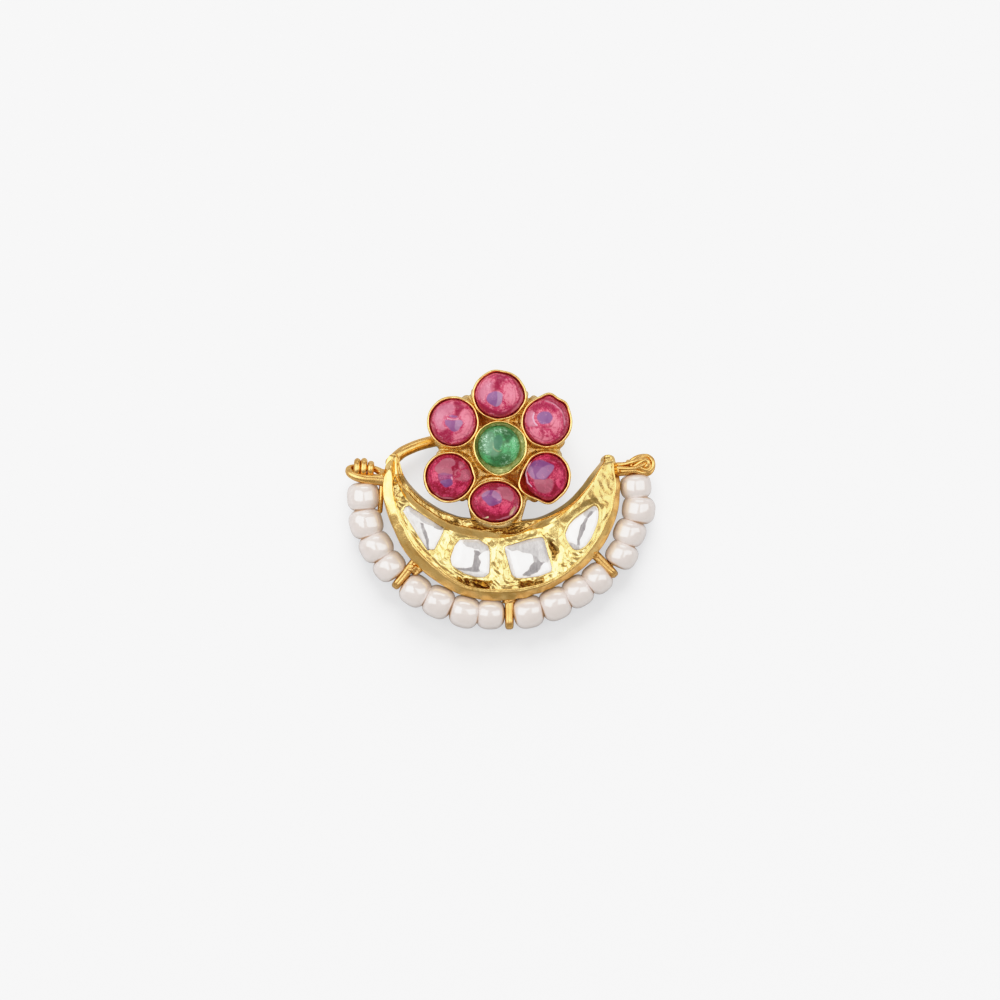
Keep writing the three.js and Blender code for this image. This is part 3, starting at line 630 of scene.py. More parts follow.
def polki_piece(name, facets, seed):
    """A stone as loops out from its middle. The girdle slopes up at one angle and the crown at a
    lower one until they meet the table, and the facets' edges wander as they were ground by hand."""
    line = POLKI_OUTLINES[name]
    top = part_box(name)[1].z / MM
    middle = line.mean(0)
    share = np.append(np.linspace(0.02, 0.9, 40), np.linspace(0.92, 1.0, 9))
    flat = middle + (line - middle) * share[:, None, None]
    inside = -away_from(flat, line)
    height = np.minimum(POLKI_GIRDLE + 0.9 * inside, POLKI_GIRDLE + CROWN_STEP + 0.3 * inside)
    height = np.minimum(height, top)
    front = np.concatenate([flat, height[..., None]], 2)[::-1]
    front[..., 2] += 0.012 * wander(front, 0.9, seed)
    back = np.concatenate([front[0, :, :2], np.full((len(line), 1), POLKI_BASE)], 1)
    middle_back = back.copy()
    middle_back[:, :2] = middle + (back[:, :2] - middle) * 0.02
    loops = np.stack([middle_back, back, *front])
    piece = loops_piece(name + "_stone", [loops], polki_glass, name)
    places = with_middles(loops)
    shaken = places[:, :2] + 0.035 * sway(places, 0.5, seed + 1)
    # each facet's painted tone of shade and reflection, over the white
    painted_tones = np.full(len(places), WHITE)
    for facet_tone, corners in facets:
        cover = covered(shaken, corners, 0.08)
        painted_tones = painted_tones * (1 - cover) + facet_tone * cover
    # painted shade near the girdle
    rim = np.clip(1 - away_from(places[:, :2], line) / -0.12, 0, 1)
    set_share(piece, "painted_tone", painted_tones * (1 - 0.35 * rim))


for index, (stone_name, cut) in enumerate(POLKI.items()):
    polki_piece(stone_name, cut["facets"], 60 + 10 * index)

# ------------------------------------------------------------------------------------------------
# The kundan. Pure gold foil, laid over lac in the tray and pushed with a burnisher against each
# stone, where it stands up as a ridge. Between the stones it is crumpled and creased.

BED_FLOOR = 2.16
BED_FIRST_ROW = 0.45
BED_LAST_ROW = 14.9
# where the foil has sunk over hollows in the lac, with painted shade in them: twice below the
# stones, and once between two
SUNK_FOIL = [
    [(-3.3, -6.0), (-2.4, -6.15), (-0.7, -6.35), (-0.7, -6.85), (-1.5, -6.85), (-2.6, -6.65), (-3.2, -6.35)],
    [(1.4, -6.4), (3.3, -6.1), (3.4, -6.4), (2.4, -6.75), (1.4, -6.85)],
    [(3.72, -3.0), (4.1, -3.2), (4.5, -4.0), (4.3, -4.6), (4.05, -4.5), (3.8, -3.7)]]
bed_profile = np.array([
    (OUTER, RIM, 0.02, BED_FLOOR, 0), (OUTER, RIM, -0.03, 0, 0),
    (INNER, BAND, -0.03, 0, 0), (INNER, BAND, 0.02, BED_FLOOR, 0)])


def crinkle(flat, size, seed, waves=5):
    """Crinkled foil, from -1 to 1: the mean of zigzags of about this length in random directions, so
    that it is all flat facets, with a straight crease between each two."""
    random = np.random.default_rng(seed)
    turn = random.uniform(0, np.pi, waves)
    ways = np.stack([np.cos(turn), np.sin(turn)]) / (size * random.uniform(0.7, 1.4, waves))
    return (np.abs((flat @ ways + random.random(waves)) % 1 * 4 - 2) - 1).mean(-1) * 1.5


inward = np.linspace(0, 1, 110)
bed_weights = np.zeros((len(inward) + 2, 4))
bed_weights[[0, -1], [0, 3]] = 1
bed_weights[1:-1, 1], bed_weights[1:-1, 2] = 1 - inward, inward
bed_loops, bed_rows, _, bed_front = along_crescent(BED_FIRST_ROW, BED_LAST_ROW, bed_profile, bed_weights, False)
bed_tops = bed_loops[:, 1:-1]
clear = np.min([away_from(bed_tops[..., :2], line) for line in POLKI_OUTLINES.values()], 0)
left_horn = np.clip(2.8 - bed_rows, 0, 1)
rough = bed_front[:, CRUMPLED] * np.maximum(np.clip(1.25 - 2.6 * inward, 0.4, 1), 0.8 * left_horn)
bent = bed_tops[..., :2] + 0.14 * sway(bed_tops, 1.1, 16)
lumpy = crumple(bent, 0.42, 11) + 0.4 * crumple(bent, 0.2, 12) - 0.35
folds = left_horn * lumpy + (1 - left_horn) * (0.45 * crinkle(bent, 0.62, 12) + 0.25 * lumpy)
# up from the stones to the middle of each bar, with a burnished ridge against the stone
height = bed_front[:, FOIL_BY_OUTER] * (1 - inward) + bed_front[:, FOIL_BY_INNER] * inward
height = height + 0.14 * np.clip(clear, 0, 0.55) + 0.03 * bell(clear, 0.04, 0.05)
away = np.clip(clear / 0.25, 0.2, 1)
height = height + away * (0.17 * rough * folds + 0.07 * crinkle(bent, 1.5, 13) * (0.4 + 0.8 * rough))
sunk = np.max([covered(bed_tops[..., :2], corners, 0.22) for corners in SUNK_FOIL], 0)
sunk = sunk * (1 - np.clip(0.5 - clear / 0.08, 0, 1))
height = height - sunk * (0.16 - 0.3 * folds)
height = np.where(clear < -0.02, np.maximum(height + clear * 1.5, BED_FLOOR + 0.1), height)
# the foil meets the rims on both sides, and the filled tips at both ends
rim_fade = np.clip(np.minimum(inward, 1 - inward) * 12, 0, 1)
end_fade = np.clip(np.minimum(bed_rows - BED_FIRST_ROW, BED_LAST_ROW - bed_rows) / 0.3, 0, 1)
edge_height = 2.56 - 0.06 * inward + 0.24 * ramp(bed_rows, 9.8, 0.9) * inward * end_fade
bed_tops[..., 2] = edge_height + (height - edge_height) * (0.3 + 0.7 * rim_fade) * end_fade
bed_tops[..., 2] += 0.02 * wander(bed_tops, 0.9, 14)
bed_loops[..., 2] -= tip_slope(bed_loops, bed_rows)
kundan = loops_piece("kundan_foil", [bed_loops], foil_gold, "kundan_bed")
# painted shade in the creases and the hollows, and on steep places, standing in for the darker
# things they mirror
creased = np.clip(2.0 * left_horn - 0.9 - 2.6 * folds + 0.6 * wander(bed_tops, 0.8, 15), 0, 1)
step_across = np.linalg.norm(np.gradient(bed_tops[..., :2], axis=1), axis=-1)
steep = np.hypot(*np.gradient(bed_tops[..., 2])) / step_across
bed_painted_shade = np.zeros(bed_loops.shape[:2])
bed_painted_shade[:, 1:-1] = np.max([
    rough ** 2 * away * creased * 0.7, sunk * np.clip(1.15 - 1.3 * folds, 0, 0.95),
    0.4 * np.clip(1.6 * steep - 0.3, 0, 1)], 0)
# the foil on the right horn is deeper
deeper = ramp(bed_rows, 10.5, 1.5) * np.clip(0.36 + 0.16 * wander(bed_loops, 1.2, 18), 0, 1)
set_share(kundan, "painted_shade_and_darkening", np.maximum(bed_painted_shade, deeper))

# ------------------------------------------------------------------------------------------------
# The flower. Seven collets of thin strip stand on a plate that joins them and runs down into the
# crescent. The strips were bent by hand, so some come to a corner.

FLOWER_BACK = 1.9
COLLET_BACK = FLOWER_BACK + 0.03
COLLET_FLOOR = 2.45
COLLET_RIM = 3.75
COLLET_WALL = 0.22
# half width, half height, corners (direction, how far out, over what angle, in the stone too), and
# how far the collet stands off
FLOWER = {
    "ruby_top": dict(
        middle=(-0.08, 8.04), half=(1.84, 1.7), play=0.03,
        corners=[(101, 0.06, 14, True), (-6, 0.1, 16, True)]),
    "ruby_upper_right": dict(
        middle=(3.58, 6.0), half=(1.74, 1.78), play=0.03,
        corners=[(84, 0.24, 15, True), (46, 0.12, 16, True)]),
    "ruby_lower_right": dict(
        middle=(3.56, 1.82), half=(1.64, 1.72), play=0.03,
        corners=[(-84, 0.2, 18, True), (204, 0.42, 26, False)]),
    "ruby_bottom": dict(middle=(-0.35, -0.15), half=(1.88, 1.5), play=0.03, corners=[]),
    "ruby_lower_left": dict(
        middle=(-3.9, 1.77), half=(1.74, 1.74), play=0.03, corners=[(-4, 0.08, 12, True)]),
    "ruby_upper_left": dict(middle=(-3.6, 5.97), half=(1.77, 1.77), play=0.03, corners=[]),
    "emerald": dict(
        middle=(-0.08, 4.12), half=(1.6, 1.6), play=0.2,
        corners=[(-90, 0.28, 30, False), (0, 0.2, 50, False)]),
}
turns = np.linspace(0, 2 * np.pi, 120, endpoint=False)


def petal_radius(stone, turn, for_collet):
    """How far a stone reaches in each direction: its oval, drawn out at each corner by a bell curve."""
    w, h = stone["half"]
    radius = 1 / np.hypot(np.cos(turn) / w, np.sin(turn) / h)
    for at, out, over, both in stone["corners"]:
        if both or for_collet:
            off = (np.degrees(turn) - at + 180) % 360 - 180
            radius = radius + out * bell(off, 0, over)
    return radius


def round_stone(stone, turn, radius, heights):
    """Loops round a stone's middle: this far out in each direction, and each loop at its height."""
    x, y = stone["middle"]
    return np.stack([x + radius * np.cos(turn), y + radius * np.sin(turn),
                     np.broadcast_to(heights[:, None], radius.shape)], -1)


def collet_piece(name, stone, seed):
    """A collet as loops from the middle of its back, up its wall, over its lip and down to the floor."""
    outside, inside = stone["play"] + COLLET_WALL, stone["play"]
    wall = through([
        (outside - 0.14, COLLET_BACK), (outside - 0.1, COLLET_BACK + 0.06), (outside - 0.03, 2.9),
        (outside, COLLET_RIM - 0.28), (outside - 0.02, COLLET_RIM - 0.1), (outside - 0.06, COLLET_RIM - 0.02),
        (outside - 0.11, COLLET_RIM), (outside - 0.16, COLLET_RIM - 0.02), (inside + 0.02, COLLET_RIM - 0.07),
        (inside, COLLET_RIM - 0.16), (inside, 3.0), (inside, COLLET_FLOOR)], 60)
    radius = petal_radius(stone, turns, True) + wall[:, :1]
    radius = np.vstack([radius[0] * [[0.02], [0.5]], radius, radius[-1] * [[0.5], [0.02]]])
    heights = np.concatenate([[COLLET_BACK] * 2, wall[:, 1], [COLLET_FLOOR] * 2])
    loops = round_stone(stone, turns, radius, heights)
    near_lip = ramp(loops[..., 2], 2.6, 1.1)
    for axis, amount, size, further in ((2, 0.045, 0.9, 0), (0, 0.025, 1.1, 40), (1, 0.025, 1.1, 80)):
        loops[..., axis] += amount * wander(loops, size, seed + further) * near_lip
    loops_piece("collet_of_" + name, [loops], polished_gold)


for index, (stone_name, stone) in enumerate(FLOWER.items()):
    collet_piece(stone_name, stone, 100 + index)

# The plate's edge, from the top collet round to the right, with a hollow between each two collets.
# At the bottom it runs down into the case as a foot.
PLATE_TOP = 2.62
PLATE_MIDDLE = np.array([-0.1, 3.2])
PLATE_EDGE = [
    (-0.1, 9.0), (2.0, 8.42), (2.19, 7.85), (2.85, 7.96), (4.6, 6.0), (5.0, 4.5), (4.62, 3.88), (4.77, 3.35),
    (4.6, 1.4), (2.9, -0.1), (2.15, 0.0), (1.95, -0.5), (1.7, -1.35), (1.4, -2.1), (0, -2.3), (-1.9, -2.1),
    (-2.25, -1.35), (-2.45, -0.4), (-2.55, 0.0), (-3.2, 0.0), (-4.9, 1.6), (-4.92, 3.42), (-4.72, 3.88),
    (-5.05, 4.5), (-4.8, 6.0), (-2.95, 7.9), (-2.31, 8.1), (-2.0, 8.6)]
plate_line = through(PLATE_EDGE, 300, closed=True)
# loops from the middle of the back out to the edge, and over the top to the middle again
plate_shares = np.r_[0.02, 0.3, 0.6, 0.9, 0.985, 1.0, 1.0, 0.985, np.linspace(0.95, 0.02, 60)][:, None]
plate_heights = np.r_[
    [FLOWER_BACK] * 4, FLOWER_BACK + 0.02, FLOWER_BACK + 0.1, PLATE_TOP - 0.1, PLATE_TOP - 0.02,
    [PLATE_TOP] * 60]
on_top = (np.arange(len(plate_shares)) > 7)[:, None]
plate_loops = np.concatenate([
    PLATE_MIDDLE + (plate_line - PLATE_MIDDLE) * plate_shares[..., None],
    np.broadcast_to(plate_heights[:, None, None], (len(plate_shares), len(plate_line), 1))], 2)[:, ::-1]
plate_folds = crumple(plate_loops[..., :2], 0.34, 21) + 0.5 * crumple(plate_loops[..., :2], 0.17, 22) - 0.4
# solder rises against the collets, and the sheet is rougher in from its edge
from_collets = np.min([
    np.hypot(plate_loops[..., 0] - stone["middle"][0], plate_loops[..., 1] - stone["middle"][1])
    - np.mean(stone["half"]) - stone["play"] - COLLET_WALL for stone in FLOWER.values()], 0)
fillet = 0.32 * bell(np.clip(from_collets, 0, None), 0, 0.16)
well_in = np.clip((1 - plate_shares) / 0.12, 0, 1)
plate_loops[..., 2] += on_top * ((0.03 + 0.1 * well_in) * plate_folds + fillet)

# Grainy gold, never polished down there, with lac that has crept out in places, and painted shade
# in the sheet's hollows away from its edge.
LAC_SPOTS = [((-1.35, 6.15), 0.5), ((-0.8, 6.2), 0.35), ((1.05, 1.6), 0.6), ((1.75, 1.1), 0.5)]
plate_gold, plate_tree, plate_shader = new_material("plate_gold", Roughness=0.25)
work = add_node(plate_tree, "Group", node_tree=handwork).outputs
lac_share = mesh_share(plate_tree, "lac")
grain_colour = mix_colour(work["Stain"], (0.90, 0.70, 0.37), (0.76, 0.54, 0.27))
# painted shade from the mesh darkens the grain
grain_colour = mix_colour(mesh_share(plate_tree, "painted_shade_and_darkening"), grain_colour, (0.26, 0.14, 0.045))
plug(plate_shader, {
    "Base Color": mix_colour(lac_share, grain_colour, (0.45, 0.17, 0.02)),
    "Metallic": maths("SUBTRACT", 1.0, lac_share)})
dent(plate_shader, work["Height"], 0.04)

flower_plate = loops_piece("flower_plate", [plate_loops], plate_gold)
places = with_middles(plate_loops)
front_only = np.append(np.repeat(on_top, len(plate_line)), [0, 1])
lac = np.max([1.6 - np.linalg.norm(places[:, :2] - spot, axis=1) / size for spot, size in LAC_SPOTS], 0)
set_share(flower_plate, "lac", front_only * (lac + 0.3 * wander(places, 0.6, 23)))
# painted shade: darker in the sheet's hollows, away from its edge, between the collets
plate_painted_shade = np.append((0.6 - 2.4 * plate_folds) * well_in, [0, 0]) * (0.35 + 0.5 * wander(places, 1.2, 24))
set_share(flower_plate, "painted_shade_and_darkening", front_only * plate_painted_shade)

# ------------------------------------------------------------------------------------------------
# The cabochons. Each is a clear dome, rubbed by hand, closed behind with crinkled foil of its own
# colour. Dome and foil are one piece here, a glossy coat over what shows in it: the foil, dark red
# where it climbs the collet, grey-violet patches, and painted light: pale and bright areas for the
# mirrored lamps, painted shade, and painted glints.

GIRDLE = 3.5
# bright and pale paint the lamps' reflections, deep paints shade, glint and spark paint glints
STONE_COLOURS = dict(
    pink=dict(
        body=(0.56, 0.052, 0.14), bright=(0.90, 0.29, 0.40), deep=(0.36, 0.028, 0.080), rim=(0.34, 0.050, 0.08),
        pale=(0.66, 0.27, 0.38), patch=(0.30, 0.135, 0.33), glint=(0.80, 0.58, 0.74), spark=(1.0, 0.50, 0.63)),
    red=dict(
        body=(0.36, 0.016, 0.062), bright=(0.77, 0.1, 0.21), deep=(0.28, 0.02, 0.052), rim=(0.36, 0.045, 0.075),
        pale=(0.46, 0.15, 0.21), patch=(0.24, 0.09, 0.26), glint=(0.78, 0.50, 0.66), spark=(1.0, 0.36, 0.50)),
    green=dict(
        body=(0.10, 0.25, 0.12), bright=(0.13, 0.52, 0.22), deep=(0.04, 0.12, 0.05), rim=(0.03, 0.09, 0.03),
        pale=(0.27, 0.47, 0.35), patch=(0.10, 0.25, 0.165), glint=(0.45, 0.47, 0.27), spark=(0.70, 0.95, 0.80)))
# a painted glint of gold
PAINTED_GOLD_GLINT = (0.95, 0.82, 0.55)
# For each stone, the disc that its dome shows, then what lies in it: which colour, how strongly,
# how soft its edge is, and its corners. Bright and pale marks are painted reflections of the lamps,
# deep ones painted shade, and glint, gold and spark marks painted glints.
SHOWN = {
    "ruby_top": ("pink", [(-1.9, 8.1), (-1.75, 8.8), (-1.3, 9.4), (-0.4, 9.72), (0.6, 9.45), (1.25, 8.75),
        (1.45, 8.0), (1.25, 7.4), (0.8, 6.9), (0, 6.6), (-0.7, 6.65), (-1.3, 7.1), (-1.75, 7.6)], [
        ("bright", 0.9, 0.3, [(0.35, 8.6), (0.7, 9.0), (1.1, 8.85), (1.35, 8.2), (1.3, 7.6), (0.9, 7.3),
            (0.5, 7.6)]),
        ("bright", 0.7, 0.3, [(-1.7, 8.7), (-1.2, 9.3), (-0.6, 9.5), (-0.6, 9.1), (-1.2, 8.7)]),
        ("pale", 0.65, 0.35, [(-1.1, 9.0), (-0.55, 9.0), (-0.6, 8.4), (-1.1, 7.9), (-1.2, 7.5), (-1.6, 7.8),
            (-1.6, 8.4)]),
        ("deep", 0.85, 0.25, [(-0.2, 9.6), (0.5, 9.5), (0.4, 9.15), (0.1, 8.9), (-0.1, 8.4), (-0.45, 8.3),
            (-0.45, 8.8)]),
        ("deep", 0.9, 0.12, [(-1.8, 7.7), (-1.2, 7.25), (-0.6, 6.95), (0, 6.8), (0.6, 6.85), (1.2, 7.35),
            (0.9, 6.9), (0.3, 6.55), (-0.4, 6.55), (-1.2, 6.95)]),
        ("patch", 1.0, 0.05, [(-1.05, 7.8), (-0.85, 8.15), (-0.5, 8.33), (-0.1, 8.25), (0.18, 8.05), (0.2, 7.6),
            (0, 7.3), (-0.35, 7.22), (-0.75, 7.4), (-1, 7.6)]),
        ("glint", 0.32, 0.05, [(-0.2, 8.3), (0.17, 8.1), (0.2, 7.6), (0, 7.3), (-0.35, 7.25), (-0.2, 7.7)]),
        ("pale", 0.7, 0.12, [(1.5, 8.6), (1.6, 8.4), (1.75, 7.8), (1.5, 7.2), (1, 6.8), (1.35, 7.35),
            (1.55, 7.9)])]),
    "ruby_upper_right": ("pink", [(1.98, 6.3), (2.1, 7.0), (2.45, 7.4), (3.1, 7.62), (3.8, 7.5), (4.5, 7.1),
        (4.8, 6.5), (4.85, 5.8), (4.65, 5.1), (4.2, 4.6), (3.6, 4.35), (3.0, 4.45), (2.4, 4.9), (2.05, 5.5)], [
        ("bright", 0.8, 0.3, [(3.9, 6.3), (4.5, 6.2), (4.65, 5.5), (4.2, 5.2), (3.9, 5.6)]),
        ("bright", 0.9, 0.25, [(2.3, 5.3), (2.9, 5.5), (3.1, 4.9), (4.0, 4.8), (3.5, 4.4), (2.8, 4.6)]),
        ("pale", 0.7, 0.1, [(2.05, 6.6), (2.5, 6.9), (2.5, 6.2), (2.65, 5.8), (2.8, 5.7), (2.2, 5.6), (2, 6)]),
        ("deep", 0.7, 0.15, [(2.4, 7.0), (2.7, 7.35), (3.3, 7.5), (4.0, 7.25), (4.3, 6.8), (3.8, 6.95),
            (3.3, 7.1), (2.9, 6.9), (2.75, 6.5), (2.55, 6.7)]),
        ("deep", 0.5, 0.1, [(3.1, 5.6), (3.4, 5.3), (3.35, 4.8), (3.15, 4.5), (3.2, 5.0)]),
        ("deep", 0.6, 0.08, [(2.1, 5.65), (2.6, 5.75), (3.0, 5.6), (3.9, 5.75), (4.3, 6.2), (4.0, 5.65),
            (3.4, 5.5), (2.6, 5.6)]),
        ("patch", 1.0, 0.05, [(2.85, 6.2), (2.95, 6.6), (3.3, 6.78), (3.7, 6.75), (3.95, 6.5), (4.05, 6.2),
            (3.85, 5.95), (3.5, 5.8), (3.1, 5.85)]),
        ("glint", 0.75, 0.04, [(2.55, 6.7), (2.48, 6.4), (2.52, 6.1), (2.64, 5.85), (2.86, 5.66), (2.8, 5.8),
            (2.66, 6), (2.6, 6.3), (2.63, 6.7)]),
        ("glint", 0.4, 0.05, [(3.5, 7.66), (3.9, 7.52), (4.3, 7.32), (4.7, 6.9), (4.95, 6.4), (5.0, 5.8),
            (4.93, 5.8), (4.88, 6.4), (4.62, 6.86), (4.24, 7.24), (3.85, 7.43), (3.45, 7.58)])]),
    "ruby_lower_right": ("red", [(2.02, 2.2), (2.2, 2.8), (2.6, 3.2), (3.3, 3.5), (4.0, 3.42), (4.7, 3.0),
        (5.05, 2.3), (5.05, 1.5), (4.8, 0.8), (4.2, 0.35), (3.5, 0.25), (2.8, 0.5), (2.35, 1.1), (2.1, 1.7)], [
        ("pale", 0.85, 0.15, [(2.6, 1.6), (3.3, 1.6), (3.9, 1.6), (4.1, 1.2), (3.9, 0.7), (3.5, 0.5), (3, 0.6),
            (2.7, 1)]),
        ("bright", 1.0, 0.12, [(4.25, 1.5), (4.5, 1.55), (4.6, 1.2), (4.35, 1.1)]),
        ("bright", 0.8, 0.12, [(4.3, 0.9), (4.85, 1.2), (4.75, 0.8)]),
        ("bright", 0.55, 0.2, [(4.4, 2.2), (4.9, 2.2), (4.8, 1.6), (4.5, 1.7)]),
        ("bright", 0.5, 0.2, [(2.7, 3.2), (3.3, 3.35), (3.9, 3.2), (3.4, 3.1)]),
        ("deep", 0.8, 0.12, [(3.9, 3.2), (4.6, 3.0), (4.95, 2.3), (4.6, 2.6), (4.3, 2.9), (3.9, 2.95)]),
        ("deep", 0.7, 0.1, [(4.1, 1.6), (4.3, 1.1), (4.5, 0.8), (4.1, 0.45), (3.9, 0.5), (4.15, 1.1)]),
        ("patch", 0.95, 0.05, [(2.12, 2.4), (2.4, 2.8), (2.8, 3.05), (3.4, 3.05), (3.9, 2.8), (4.15, 2.65),
            (4.1, 2.3), (3.8, 1.9), (3.5, 1.55), (3.1, 1.6), (2.6, 1.6), (2.3, 1.9)]),
        ("glint", 0.2, 0.05, [(2.75, 1.95), (3.1, 2.4), (3.7, 2.7), (4.13, 2.63), (4.08, 2.3), (3.7, 1.85),
            (3.45, 1.6), (2.9, 1.7)]),
        ("glint", 0.22, 0.06, [(2.1, 2.4), (2.4, 2.6), (2.6, 2.1), (2.6, 1.6), (2.3, 1.8)]),
        ("glint", 1.0, 0.03, [(2.2, 2.8), (2.38, 2.98), (2.17, 2.5), (2.06, 2.1), (2.12, 1.6), (2.22, 1.3),
            (2.46, 1), (2.4, 0.96), (2.15, 1.25), (1.98, 1.6), (1.95, 2.1), (2.05, 2.6)])]),
    "ruby_bottom": ("red", [(-1.95, 0.0), (-1.8, 0.5), (-1.3, 0.95), (-0.6, 1.22), (0.1, 1.22), (0.8, 0.9),
        (1.05, 0.4), (1.05, -0.2), (0.8, -0.8), (0.3, -1.3), (-0.4, -1.45), (-1.1, -1.3), (-1.7, -0.7)], [
        ("bright", 1.0, 0.2, [(0.1, -0.4), (0.7, -0.2), (0.9, -0.5), (0.6, -0.95), (0.3, -1.0), (0.1, -0.8)]),
        ("bright", 0.6, 0.3, [(-1.6, 0.2), (-1.3, -0.5), (-0.6, -0.9), (0, -0.7), (-0.5, -0.5), (-1.3, 0)]),
        ("pale", 0.85, 0.08, [(-0.1, 1.0), (0.5, 1.0), (0.92, 0.7), (1.0, 0.3), (0.95, -0.1), (0.3, 0.1),
            (0.1, 0.4), (-0.2, 0.8)]),
        ("pale", 0.6, 0.1, [(-1.65, 0.35), (-1.2, 0.8), (-0.9, 0.85), (-1, 0.6), (-1.4, 0.25)]),
        ("deep", 0.8, 0.1, [(-0.8, 1.2), (0, 1.2), (-0.2, 0.9), (-0.45, 0.72), (-0.85, 0.8)]),
        ("deep", 0.9, 0.25, [(-1.4, -0.8), (-0.6, -1.15), (0.2, -1.15), (0.2, -1.4), (-0.5, -1.55),
            (-1.2, -1.35)]),
        ("patch", 0.95, 0.05, [(-1.35, 0.1), (-1.35, 0.4), (-0.95, 0.7), (-0.4, 0.72), (0.1, 0.2), (0.1, -0.2),
            (-0.3, -0.35), (-0.6, -0.5), (-0.9, -0.35), (-1.2, -0.1)]),
        ("glint", 0.25, 0.04, [(-1.4, 0.4), (-1.1, 0.7), (-0.85, 0.75), (-0.8, 0.55), (-1.25, 0.2)]),
        ("glint", 0.3, 0.04, [(-0.45, 0.7), (-0.15, 0.75), (0.15, 0.2), (0, -0.05), (-0.3, 0.1), (-0.6, 0.35)]),
        ("glint", 0.45, 0.04, [(-0.3, -1.46), (0.3, -1.36), (0.85, -1.02), (1.2, -0.65), (1.3, -0.4),
            (1.38, -0.5), (1.1, -1.05), (0.5, -1.45), (0, -1.53)]),
        ("gold", 1.0, 0.03, [(0.72, -1.1), (0.92, -0.7), (1.12, -0.47), (1.2, -0.56), (1.02, -0.95),
            (0.85, -1.12)]),
        ("gold", 0.9, 0.03, [(-1.35, -1.35), (-1, -1.25), (-0.86, -1.3), (-0.9, -1.37), (-1.25, -1.41)]),
        ("pale", 0.5, 0.1, [(1.15, 0.5), (1.35, 0.4), (1.47, -0.3), (1.25, -0.4)])]),
    "ruby_lower_left": ("red", [(-5.5, 1.9), (-5.3, 2.7), (-4.7, 3.3), (-4.0, 3.5), (-3.2, 3.3), (-2.5, 2.7),
        (-2.22, 2.0), (-2.3, 1.3), (-2.7, 0.7), (-3.3, 0.35), (-4.0, 0.25), (-4.8, 0.5), (-5.3, 1.1)], [
        ("bright", 0.5, 0.3, [(-5.3, 2.2), (-5.0, 2.7), (-4.9, 1.7), (-5.2, 1.5)]),
        ("bright", 1.0, 0.08, [(-3.4, 0.75), (-3.0, 1.0), (-2.65, 1.07), (-2.55, 0.85), (-2.9, 0.6),
            (-3.2, 0.52)]),
        ("deep", 0.8, 0.1, [(-3.7, 3.3), (-3.2, 3.2), (-3.0, 2.8), (-3.2, 2.4), (-3.4, 2.0), (-3.6, 1.9),
            (-3.7, 2.3), (-3.6, 2.7)]),
        ("deep", 0.6, 0.2, [(-4.9, 1.2), (-4.3, 0.8), (-3.6, 0.9), (-3.6, 0.6), (-4.4, 0.5), (-5, 0.9)]),
        ("pale", 0.9, 0.05, [(-4.97, 2.5), (-4.6, 2.95), (-4.2, 3.22), (-3.7, 3.17), (-3.48, 2.95), (-3.5, 2.7),
            (-3.7, 2.5), (-3.65, 2.1), (-3.8, 1.95), (-4.6, 1.95), (-4.87, 2.2)]),
        ("pale", 0.7, 0.06, [(-3.1, 3.0), (-2.85, 2.87), (-2.72, 2.6), (-3.0, 2.4), (-3.15, 2.6)]),
        ("pale", 0.6, 0.06, [(-2.9, 2.3), (-2.4, 2.35), (-2.3, 1.8), (-2.5, 1.4), (-3, 1.5), (-3.4, 1.6),
            (-3.1, 1.8)]),
        ("pale", 0.5, 0.06, [(-3.5, 2.2), (-3.2, 2.4), (-3.0, 2.1), (-3.1, 2.05), (-3.25, 2.25), (-3.4, 2.05),
            (-3.3, 1.85), (-3.45, 1.85)]),
        ("patch", 0.55, 0.08, [(-4.75, 2.0), (-3.75, 2.0), (-3.62, 1.7), (-3.8, 1.6), (-4.55, 1.45)]),
        ("patch", 1.0, 0.05, [(-4.58, 1.43), (-4.1, 1.6), (-3.85, 1.63), (-3.7, 1.55), (-3.64, 1.2),
            (-3.9, 1.05), (-4.15, 1.0), (-4.4, 1.15)]),
        ("glint", 0.6, 0.04, [(-3.76, 1.76), (-3.64, 1.76), (-3.6, 1.5), (-3.68, 1.5)]),
        ("glint", 0.5, 0.05, [(-5, 0.5), (-4.5, 0.27), (-3.9, 0.14), (-3.3, 0.22), (-2.7, 0.52), (-2.3, 1.02),
            (-2.2, 1.4), (-2.14, 1.4), (-2.2, 0.9), (-2.6, 0.38), (-3.2, 0.07), (-3.9, 0), (-4.5, 0.12)])]),
    "ruby_upper_left": ("pink", [(-5.12, 6.0), (-5.05, 6.6), (-4.7, 7.2), (-4.1, 7.6), (-3.4, 7.7), (-2.8, 7.5),
        (-2.2, 7.0), (-1.95, 6.3), (-2.0, 5.5), (-2.4, 4.9), (-3.0, 4.5), (-3.7, 4.35), (-4.4, 4.7),
        (-4.9, 5.4)], [
        ("bright", 1.0, 0.25, [(-3.2, 6.6), (-2.7, 6.95), (-2.2, 6.8), (-2.05, 6), (-2.2, 5.3), (-2.8, 4.8),
            (-3.5, 4.55), (-3.5, 4.9), (-2.9, 5.4), (-2.7, 6)]),
        ("pale", 0.7, 0.25, [(-5, 6.6), (-4.6, 7.2), (-3.9, 7.45), (-3.55, 7.2), (-3.6, 6.7), (-4.2, 6.4),
            (-4.4, 5.9), (-4.2, 5.5), (-4.6, 5.3), (-4.95, 5.9)]),
        ("bright", 0.7, 0.3, [(-5, 6.6), (-4.6, 6.9), (-4.2, 6.7), (-4.5, 6.2), (-4.9, 6.2)]),
        ("deep", 0.85, 0.15, [(-3.6, 7.5), (-3.0, 7.4), (-2.75, 7.1), (-3.0, 6.7), (-3.2, 6.4), (-3.45, 6.5),
            (-3.4, 6.9)]),
        ("deep", 0.7, 0.12, [(-4.6, 5.2), (-4.3, 5.42), (-3.9, 5.42), (-3.7, 5.1), (-3.8, 4.5), (-4.3, 4.6),
            (-4.7, 4.9)]),
